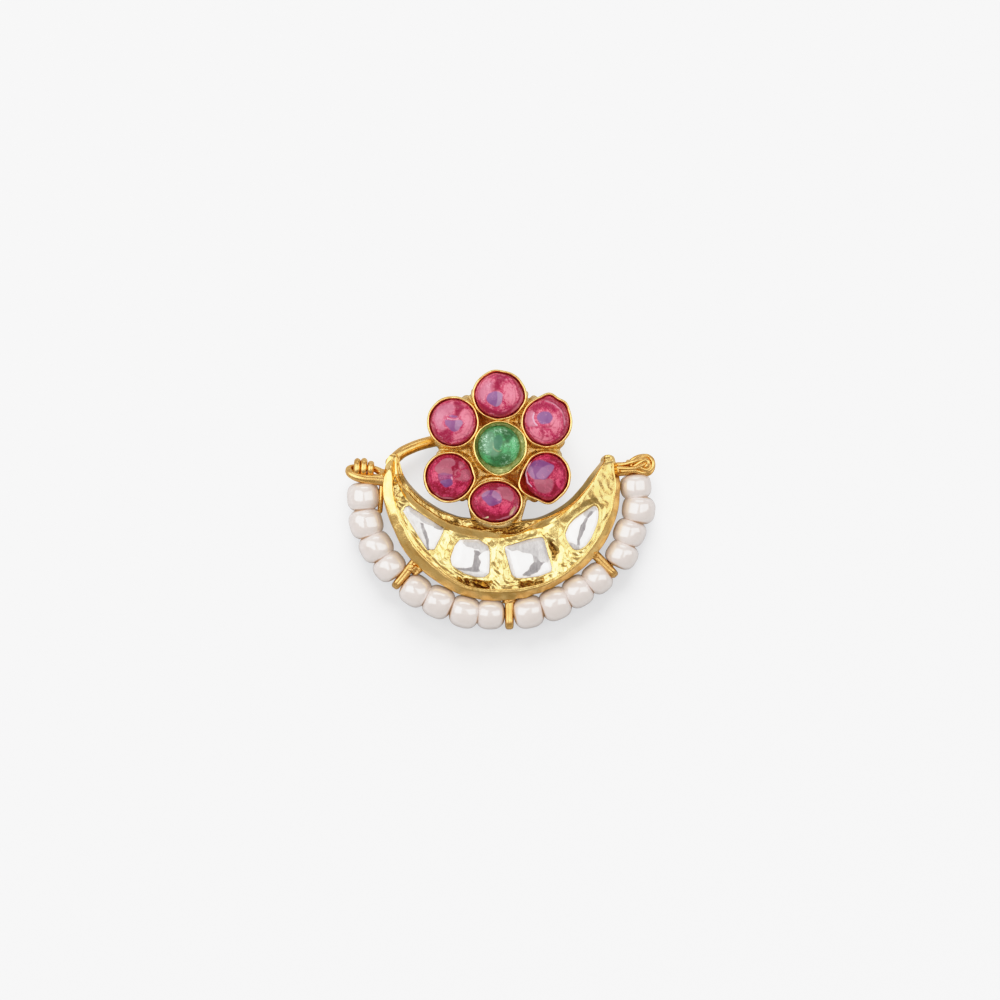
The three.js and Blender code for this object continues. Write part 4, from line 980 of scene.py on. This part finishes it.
        ("patch", 0.9, 0.07, [(-4.25, 6.1), (-3.9, 6.12), (-3.5, 6.1), (-2.95, 6.15), (-2.9, 5.8), (-3.2, 5.4),
            (-3.5, 5.25), (-3.8, 5.4), (-4.1, 5.7)]),
        ("patch", 0.8, 0.06, [(-3.95, 6.45), (-3.7, 6.56), (-3.4, 6.5), (-3.25, 6.4), (-3.5, 6.32),
            (-3.85, 6.35)]),
        ("glint", 0.25, 0.07, [(-3.4, 6.1), (-2.95, 6.15), (-2.9, 5.8), (-3.2, 5.4), (-3.4, 5.5)]),
        ("glint", 0.5, 0.04, [(-4.1, 6.27), (-3.7, 6.22), (-3.3, 6.28), (-3.15, 6.37), (-3.22, 6.24),
            (-3.6, 6.15), (-4, 6.18)])]),
    "emerald": ("green", [(0, 5.8), (1.2, 5.3), (1.7, 4.1), (1.2, 2.9), (0, 2.4), (-1.4, 2.9), (-1.9, 4.1),
        (-1.4, 5.3)], [
        ("bright", 1.0, 0.3, [(0.8, 4.7), (1.3, 4.7), (1.5, 3.9), (1.3, 3.1), (0.9, 2.8), (0.9, 3.5)]),
        ("bright", 0.8, 0.3, [(-1.4, 3.6), (-1, 3.4), (-0.6, 3), (-1, 2.8), (-1.4, 3.2)]),
        ("deep", 0.7, 0.2, [(0.1, 5.2), (0.7, 5.35), (1.0, 4.9), (0.6, 4.4), (0.3, 4.8)]),
        ("deep", 0.6, 0.3, [(-0.7, 3.3), (0, 3.5), (0.6, 3.3), (0.4, 2.8), (-0.4, 2.7)]),
        ("pale", 0.45, 0.25, [(-1.1, 5.1), (-0.5, 5.2), (-0.35, 4.2), (-0.1, 3.5), (-0.9, 3.4), (-1.2, 4.2)]),
        ("spark", 1.0, 0.4, [(-1.5, 4.7), (-1.0, 5.0), (-0.8, 4.6), (-1.0, 4.1), (-1.0, 3.6), (-1.5, 3.8)]),
        ("spark", 0.5, 0.3, [(0.9, 4.8), (1.4, 4.6), (1.55, 3.9), (1.3, 3.1), (0.9, 2.8), (0.2, 2.6),
            (0.2, 2.9), (0.9, 3.4)]),
        ("spark", 0.8, 0.2, [(-0.5, 5.4), (0.2, 5.45), (0.5, 5.3), (0.2, 5.2), (-0.3, 5.15)]),
        ("patch", 0.9, 0.07, [(-0.5, 4.5), (-0.35, 4.85), (-0.1, 5), (0.1, 4.9), (0.2, 4.5), (0.1, 4.1),
            (-0.15, 3.85), (-0.4, 4)]),
        ("glint", 0.5, 0.05, [(-0.56, 4.4), (-0.46, 4.04), (-0.12, 3.78), (0.12, 3.9), (0.06, 3.78),
            (-0.2, 3.7), (-0.52, 3.95)])])}
SHADES = ("bright", "deep", "pale", "patch", "glint", "gold", "rim", "spark")


def stone_material(name, colours):
    """Foil under a clear coat. Its grain runs from the body's colour to the bright one, and then each
    shade is mixed in by its own share; most shades are painted light: reflections of the lamps,
    shade and glints. The grain dents the foil, and the coat stays smooth."""
    material, tree, shader = new_material(
        name, Metallic=0.12, Roughness=0.38, Specular_IOR_Level=0.2, Coat_Weight=0.4, Coat_Roughness=0.09)
    coarse, fine = noise(tree, 4.2, 3.0, 0.65), noise(tree, 13.0, 2.0, 0.6)
    grain = maths("ADD", maths("MULTIPLY", coarse, 3.0), maths("MULTIPLY", fine, 2.4))
    brightness = maths("ADD", maths("SUBTRACT", grain, 2.5), mesh_share(tree, "bright"))
    colour = mix_colour(brightness, colours["body"], colours["bright"])
    for shade in SHADES[1:-1]:
        colour = mix_colour(mesh_share(tree, shade), colour, colours.get(shade, PAINTED_GOLD_GLINT))
    # sparks are painted glints on single bright grains
    grains = maths("MULTIPLY", maths("SUBTRACT", maths("ADD", coarse, fine), 1.0), 5.0)
    sparks = maths("MULTIPLY", mesh_share(tree, "spark"), grains)
    plug(shader, {"Base Color": mix_colour(sparks, colour, colours["spark"])})
    dent(shader, coarse, 0.035)
    return material


stone_materials = {key: stone_material("stone_" + key, colours) for key, colours in STONE_COLOURS.items()}
stone_turns = np.linspace(0, 2 * np.pi, 150, endpoint=False)


def cabochon_piece(name, stone, seed):
    """The dome: up its girdle, then over a quarter oval to its top. A shade's share is 1 inside its
    corners, 0 outside, and changes evenly over its soft edge."""
    key, disc, marks = SHOWN[name]
    low, high = (corner.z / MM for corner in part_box(name))
    bend = np.radians(np.linspace(0, 89.5, 70))
    heights = np.concatenate([[low, low, low + 0.04], GIRDLE + (high - 0.02 - GIRDLE) * np.sin(bend)])
    shrink = np.concatenate([[0.02, 0.98, 1], np.cos(bend)])[:, None]
    loops = round_stone(stone, stone_turns, petal_radius(stone, stone_turns, False) * shrink, heights)
    loops[..., 2] += 0.03 * wander(loops, 2.2, seed) * ramp(loops[..., 2], GIRDLE, 0.6)
    dome = loops_piece(
        name + "_dome", [loops], stone_materials[key], name)
    places = with_middles(loops)
    shaken = places[:, :2] + 0.05 * sway(places, 0.7, seed + 1)
    out_of_disc = away_from(shaken, through(disc, 60, closed=True))
    # painted shade in rings, where the foil folds as it nears the disc's edge, and in its creases
    rings = np.clip(np.sin(out_of_disc * 26 + 2.5 * wander(places, 1.2, seed + 3)), 0, 1)
    creases = np.clip(crumple(shaken, 0.55, seed + 5) * 2.6 - 1.1, 0, 1)
    share = {shade: np.zeros(len(places)) for shade in SHADES}
    share["rim"] = 0.62 * np.clip(out_of_disc / 0.05, 0, 1) - 0.35 * np.clip(out_of_disc / 0.3 - 0.4, 0, 1)
    share["deep"] = np.maximum(0.8 * rings * np.clip(1 + out_of_disc / 0.55, 0, 1), 0.45 * creases)
    share["bright"] = 0.45 * wander(places, 0.8, seed + 4)
    # painted glints, scattered as sparks
    share["spark"] = 0.35 * np.clip(wander(places, 0.9, seed + 6), 0, 1)
    for shade, strength, edge, corners in marks:
        cover = strength * covered(shaken, through(corners, 6 * len(corners), closed=True), edge)
        if shade in ("pale", "patch", "glint"):
            share["deep"] *= 1 - cover
            share["rim"] *= 1 - cover
        share[shade] = np.maximum(share[shade], cover)
    for shade, values in share.items():
        set_share(dome, shade, values)


for index, (stone_name, stone) in enumerate(FLOWER.items()):
    cabochon_piece(stone_name, stone, 300 + 10 * index)

# what fills a collet beside its stone: foil and lac, red by the rubies and pale by the emerald
FILLING = ((0.56, 0.03, 0.10), (0.27, 0.01, 0.035))
OTHER_FILLINGS = {
    "emerald": ((0.85, 0.88, 0.44), (0.45, 0.46, 0.19)),
    "ruby_lower_right": ((0.55, 0.10, 0.03), (0.3, 0.03, 0.012))}


def filling_piece(name, stone, colour, dark, seed):
    """A ring from the stone's side out to the wall, whose top rises as the square of the way out. Its
    last loop is joined to its first."""
    material, tree, shader = new_material("filling_of_" + name, Roughness=0.32, Metallic=0.3)
    mottle = maths("MULTIPLY", maths("SUBTRACT", noise(tree, 2.6, 3.0, 0.6), 0.35), 3.0)
    plug(shader, {"Base Color": mix_colour(mottle, dark, colour)})
    out = np.linspace(0, 1, 14)
    inner = petal_radius(stone, turns, False) - 0.12
    outer = petal_radius(stone, turns, True) + stone["play"] + 0.03
    radius = inner + (outer - inner) * np.append(out, [1, 0])[:, None]
    loops = round_stone(stone, turns, radius, np.append(3.2 + 0.28 * out ** 2, [2.5, 2.5]))
    top = loops[:14]
    top[..., 2] += 0.05 * wander(top, 0.6, seed) + 0.03 * wander(top, 0.25, seed + 1)
    stations, around = loops.shape[:2]
    s, a = np.meshgrid(np.arange(stations), np.arange(around), indexing="ij")
    after, beside = (s + 1) % stations * around, (a + 1) % around
    faces = np.stack([s * around + a, s * around + beside, after + beside, after + a], -1).reshape(-1, 4)
    on_pin(build_mesh("filling_of_" + name, loops.reshape(-1, 3), [faces], material))


for index, (stone_name, stone) in enumerate(FLOWER.items()):
    filling_piece(stone_name, stone, *OTHER_FILLINGS.get(stone_name, FILLING), 400 + 2 * index)

# ------------------------------------------------------------------------------------------------
# The nose wire. Round drawn wire, soldered to the left horn. It runs behind the flower, where its
# rounded end stands a nostril's thickness clear of the plate.

NOSE_WIRE = 0.45
NOSE_WIRE_ROUTE = [
    (-8.4, 2.9, 1.35), (-7.65, 3.6, 1.3), (-6.9, 4.0, 1.15), (-6.1, 4.3, 0.95), (-5.2, 4.53, 0.75),
    (-4.2, 4.68, 0.57), (-3.0, 4.72, 0.47), (-1.6, 4.6, 0.45), (-0.5, 4.38, 0.45)]


def wire_loops(path, radius, around=20):
    """Loops of a round wire along a path. Each loop's first direction is the one before it, made
    square to the path again, so the wire doesn't twist. Its ends are loops that shrink as a half
    circle does."""
    path = np.asarray(path, float)
    radius = np.broadcast_to(np.asarray(radius, float), (len(path),))
    ahead = np.gradient(path, axis=0)
    ahead /= np.linalg.norm(ahead, axis=1)[:, None]
    bend = np.radians(np.linspace(15, 88, 6))
    start = path[0] - ahead[0] * (np.sin(bend)[::-1] * radius[0])[:, None]
    finish = path[-1] + ahead[-1] * (np.sin(bend) * radius[-1])[:, None]
    radius = np.concatenate([np.cos(bend)[::-1] * radius[0], radius, np.cos(bend) * radius[-1]])
    ahead = np.concatenate([np.repeat(ahead[:1], 6, 0), ahead, np.repeat(ahead[-1:], 6, 0)])
    path = np.concatenate([start, path, finish])
    first = np.cross(ahead[0], (0, 0, 1.0) if abs(ahead[0, 2]) < 0.9 else (1.0, 0, 0))
    sides = np.empty_like(path)
    for step, way in enumerate(ahead):
        first = first - way * (first @ way)
        first /= np.linalg.norm(first)
        sides[step] = first
    turn = np.linspace(0, 2 * np.pi, around, endpoint=False)[None, :, None]
    ring = np.cos(turn) * sides[:, None] + np.sin(turn) * np.cross(ahead, sides)[:, None]
    return path[:, None] + ring * radius[:, None, None]


loops_piece("nose_wire", [wire_loops(through(NOSE_WIRE_ROUTE, 120), NOSE_WIRE, 32)], wire_gold)

# ------------------------------------------------------------------------------------------------
# The end eyes and the string's wound ends. On the left a flattened loop of wire lies against the
# horn, with the string wire wound three times on its rear strand. On the right the loop is a rope
# of twisted wire, knotted round.

STRING_WIRE = 0.16


def coil(start, finish, turns_wound, radius, lean):
    """A helix round the line from start to finish, its radius given at both ends. It leans along the
    line as it rises."""
    start, finish = np.asarray(start, float), np.asarray(finish, float)
    line = finish - start
    side = np.cross((0, 0, 1.0), line)
    side /= np.linalg.norm(side)
    up = np.cross(line, side)
    up /= np.linalg.norm(up)
    share = np.linspace(0, 1, int(turns_wound * 28))[:, None]
    angle = share * turns_wound * 2 * np.pi
    reach = radius[0] + (radius[1] - radius[0]) * share
    return start + line * (share + lean * np.sin(angle)) + reach * (np.cos(angle) * side + np.sin(angle) * up)


def lump(middle, radii, seed, rough=0.2):
    """A lump of solder: an oval ball whose reach wanders."""
    bend = np.radians(np.linspace(-88, 88, 26))[:, None]
    turn = np.linspace(0, 2 * np.pi, 40, endpoint=False)
    ball = np.stack(np.broadcast_arrays(
        np.cos(bend) * np.cos(turn), np.cos(bend) * np.sin(turn), np.sin(bend)), -1) * radii
    placed = ball + middle
    reach = 1 + rough * wander(placed, 0.45, seed) + 0.5 * rough * wander(placed, 0.2, seed + 1)
    return ball * reach[..., None] + middle


# the front strand is thick where it meets the horn, and thins as it turns back
LEFT_EYE_ROUTE = [
    (-8.85, 1.5, 1.9, 0.46), (-9.6, 1.58, 1.95, 0.43), (-10.4, 1.65, 2.0, 0.39), (-11.1, 1.82, 1.95, 0.36),
    (-11.56, 2.1, 1.75, 0.33), (-11.6, 2.4, 1.45, 0.28), (-11.2, 2.52, 1.25, 0.25), (-10.4, 2.5, 1.2, 0.25),
    (-9.7, 2.4, 1.25, 0.25), (-9.2, 2.15, 1.4, 0.3), (-8.85, 2.0, 1.5, 0.35)]
LEFT_EYE_STEM = [(-9.05, 1.6, 1.65), (-9.14, 0.8, 1.65), (-9.19, 0.0, 1.6), (-9.26, -0.85, 1.4)]
left_line = through(LEFT_EYE_ROUTE, 130)
loops_piece("left_eye", [
    wire_loops(left_line[:, :3], left_line[:, 3], 28), wire_loops(through(LEFT_EYE_STEM, 40), 0.2),
    lump((-9.05, 1.62, 1.85), (0.42, 0.6, 0.42), 201, 0.12)], wire_gold)
# three turns of wire hold its end down, each from this place across and this far up the table
LEFT_TURNS = [(-11.05, 2.98), (-10.53, 3.0), (-10.0, 2.78)]
loops_piece(
    "left_wraps",
    [wire_loops(through([
        (x, 1.9, 1.6), (x + 0.01, 2.15, 1.96), (x + 0.03, 2.5, 2.04), (x + 0.05, y - 0.12, 1.92),
        (x + 0.06, y, 1.55), (x + 0.04, y - 0.2, 1.15)], 40), 0.26) for x, y in LEFT_TURNS],
    wire_gold, "wire_wraps_left")

# on the right three strands, each of two wires twisted, run out from the horn and are knotted round
RIGHT_EYE_ROUTES = [
    [(8.8, 2.1, 1.7), (9.6, 2.13, 1.8), (10.3, 2.2, 1.8), (10.9, 2.13, 1.7), (11.45, 2.15, 1.65),
     (11.7, 2.6, 1.6), (11.66, 3.1, 1.6), (11.35, 3.36, 1.6), (10.85, 3.3, 1.65), (10.4, 3.08, 1.7),
     (10.0, 2.8, 1.6), (9.5, 2.62, 1.5), (8.9, 2.6, 1.4)],
    [(8.8, 2.35, 1.95), (9.6, 2.38, 2.05), (10.3, 2.5, 2.12), (10.9, 2.8, 2.2), (11.25, 3.0, 2.15),
     (11.45, 2.75, 2.1), (11.3, 2.48, 2.12), (11.0, 2.5, 2.12), (10.8, 2.66, 2.0)],
    [(8.9, 2.62, 1.75), (9.6, 2.68, 1.85), (10.2, 2.92, 2.0), (10.8, 3.18, 2.05), (11.3, 3.28, 1.95),
     (11.66, 2.95, 1.9), (11.66, 2.5, 1.9), (11.4, 2.2, 1.95), (10.95, 2.22, 2.05), (10.5, 2.35, 2.1),
     (10.0, 2.3, 2.0), (9.4, 2.2, 1.9)]]


def strands(line, count, radius, twists):
    """Wires twisted round a line: each keeps its distance from it and turns evenly about it."""
    ahead = np.gradient(line, axis=0)
    ahead /= np.linalg.norm(ahead, axis=1)[:, None]
    first = np.cross(ahead, (0, 0, 1.0))
    first /= np.linalg.norm(first, axis=1)[:, None]
    second = np.cross(ahead, first)
    turn = np.linspace(0, twists * 2 * np.pi, len(line))[:, None]
    return [line + radius * (np.cos(turn + start) * first + np.sin(turn + start) * second)
            for start in np.linspace(0, 2 * np.pi, count, endpoint=False)]


loops_piece("right_eye", [
    *(wire_loops(strand, 0.17, 14) for route in RIGHT_EYE_ROUTES
      for strand in strands(through(route, 200), 2, 0.12, 1.3)),
    lump((11.05, 2.72, 1.6), (0.72, 0.62, 0.4), 204, 0.1),
    lump((9.15, 2.35, 1.75), (0.45, 0.42, 0.4), 203, 0.25)], wire_gold)
loops_piece(
    "right_wraps", [wire_loops(coil((9.95, 2.55, 1.5), (11.2, 2.8, 1.5), 3, (0.42, 0.5), 0.1), STRING_WIRE)],
    wire_gold, "wire_wraps_right")

# ------------------------------------------------------------------------------------------------
# The pearls and their string. Sixteen seed pearls, none quite round, pressed end to end on a thin
# gold wire. After every fourth the wire passes through a loop of two turns soldered to the case.

STRING_HEIGHT = 1.27
PEARL_SQUARENESS = 2.75
PEARL_GROWTH = 1.05, 1.13
# middle, half width across the string, half length along it
PEARLS = np.array([
    (-10.54, 0.27, 1.24, 1.03), (-10.33, -1.79, 1.27, 1.05), (-9.55, -3.6, 1.25, 1.02),
    (-8.55, -5.13, 1.22, 0.90), (-6.52, -7.0, 1.22, 1.02), (-4.75, -7.86, 1.23, 1.05),
    (-2.72, -8.63, 1.22, 1.06), (-0.74, -8.78, 1.17, 1.00), (2.2, -8.64, 1.2, 1.08), (4.26, -8.0, 1.22, 1.09),
    (6.02, -7.06, 1.2, 1.0), (7.5, -6.05, 1.2, 0.90), (9.4, -4.2, 1.2, 0.92), (10.0, -2.5, 1.2, 0.95),
    (10.7, -0.72, 1.24, 0.98), (10.47, 1.04, 1.16, 0.92)])
STRING_START = (-10.6, 1.46, STRING_HEIGHT)
STRING_FINISH = (10.4, 1.96, STRING_HEIGHT)

nacre, nacre_tree, nacre_shader = new_material(
    "nacre", Roughness=0.6, Specular_IOR_Level=0.1, Coat_Weight=1.0, Coat_Roughness=0.01, Coat_IOR=2.2)
pearl_body = mix_colour(noise(nacre_tree, 0.8, 3.0), (0.80, 0.73, 0.71), (0.88, 0.83, 0.82))
# the side facing the crescent is warmer: a painted reflection of its gold
pearl_body = mix_colour(mesh_share(nacre_tree, "painted_gold_reflection"), pearl_body, (0.72, 0.61, 0.53))
plug(nacre_shader, {"Base Color": mix_colour(mesh_share(nacre_tree, "hole"), pearl_body, (0.58, 0.36, 0.18))})
dent(nacre_shader, noise(nacre_tree, 1.1, 2.0), 0.012, "Coat Normal")


def pearl_loops(middle, way, across, along, seed):
    """A pearl as loops round its hole: a circle in its section, with the power of sine and cosine
    lowered so that its ends are flat, lifted where it would dip into the table. Also how near each
    point is to a hole or the joint with the next pearl, and how far it faces the crescent's gold,
    for a painted reflection of that gold."""
    angle = np.radians(np.linspace(-89, 89, 44))
    power = 2 / PEARL_SQUARENESS
    radius = PEARL_GROWTH[0] * across * np.cos(angle) ** power
    height = PEARL_GROWTH[1] * along * np.sign(np.sin(angle)) * np.abs(np.sin(angle)) ** power
    side = np.array([-way[1], way[0], 0])
    turn = np.linspace(0, 2 * np.pi, 48, endpoint=False)[:, None]
    ring = np.cos(turn) * side + np.sin(turn) * np.array([0, 0, 1.0])
    loops = middle + height[:, None, None] * way + radius[:, None, None] * ring
    loops += (loops - middle) * (0.03 * wander(loops, 2.6, seed) - 0.015)[..., None]
    loops[..., 2] -= min(0, loops[..., 2].min())
    to_centre = (np.append(CRESCENT_CENTRE, 0) - middle) * (1, 1, 0)
    to_centre /= np.linalg.norm(to_centre)
    hole = np.clip((0.42 - radius / across) / 0.12, 0, 1)
    joint = 0.8 * np.clip((np.abs(height) / along - 0.94) / 0.06, 0, 1)
    # painted reflection of the gold, on the side facing the crescent
    painted_gold_reflection = np.clip(((loops - middle) @ to_centre) / across * 1.3 - 0.2, 0, 1)
    return (loops[:, ::-1], np.append(np.repeat(np.maximum(hole, joint), len(turn)), [1, 1]),
            np.append(painted_gold_reflection, [0, 0]))


stretches = [np.c_[PEARLS[4 * s:4 * s + 4, :2], np.full(4, STRING_HEIGHT)] for s in range(4)]
string_ends = [STRING_START, *((stretches[s][-1] + stretches[s + 1][0]) / 2 for s in range(3)), STRING_FINISH]
for s in range(4):
    stops = np.vstack([string_ends[s], stretches[s], string_ends[s + 1]])
    ways = stops[2:] - stops[:-2]
    ways /= np.linalg.norm(ways, axis=1)[:, None]
    blocks, holes, painted_gold_reflections = zip(*(
        pearl_loops(stops[k + 1], ways[k], *PEARLS[4 * s + k, 2:], 500 + 4 * s + k) for k in range(4)))
    pearls = loops_piece(f"seed_pearls_{s + 1}", blocks, nacre, f"pearls_{s + 1}")
    set_share(pearls, "hole", np.concatenate(holes))
    set_share(pearls, "painted_gold_reflection", np.concatenate(painted_gold_reflections))
    loops_piece(f"string_{s + 1}", [wire_loops(through(stops, 80), STRING_WIRE, 12)], wire_gold)

loop_gold = gold_material("loop_gold", (0.76, 0.48, 0.20), (0.62, 0.37, 0.13), 0.3, 0.7, 0.018)
LOOP_WIRE = 0.24
LOOP_SPREAD = 0.12
LOOP_HALF_HEIGHT = 0.42
# each loop's root and tip, and then its lump of solder
STRING_LOOPS = [((-6.4, -4.55), (-8.2, -6.8)), ((0.72, -7.5), (0.72, -10.0)), ((7.0, -3.85), (8.98, -5.9))]
SOLDER = [((-6.5, -5.35, 1.75), (0.5, 0.42, 0.4)), ((0.72, -7.72, 1.6), (0.55, 0.32, 0.4)),
          ((7.2, -4.15, 1.75), (0.42, 0.45, 0.4))]


def loop_turn(root, tip, sign):
    """One turn of a string loop: out above the string, round a half circle, and back below it."""
    root, tip = np.asarray(root, float), np.asarray(tip, float)
    length = np.linalg.norm(tip - root)
    out = (tip - root) / length
    side = np.array([-out[1], out[0]])
    bend_at = length - LOOP_WIRE - LOOP_HALF_HEIGHT
    bend = np.radians(np.linspace(80, -80, 9))
    reach = np.concatenate([[0, bend_at * 0.5, bend_at * 0.85], bend_at + LOOP_HALF_HEIGHT * np.cos(bend),
                            [bend_at * 0.85, bend_at * 0.5, 0]])
    height = np.concatenate([[1, 1, 1], np.sin(bend), [-1, -1, -1]]) * LOOP_HALF_HEIGHT
    flat = root + reach[:, None] * out + sign * LOOP_SPREAD * (1 - 0.45 * (reach / length)[:, None] ** 4) * side
    return through(np.c_[flat, STRING_HEIGHT + height], 90)


loops_piece(
    "string_loops",
    [wire_loops(loop_turn(root, tip, sign), LOOP_WIRE) for root, tip in STRING_LOOPS for sign in (-1, 1)]
    + [lump(place, radii, 206 + index, 0.3) for index, (place, radii) in enumerate(SOLDER)],
    loop_gold)
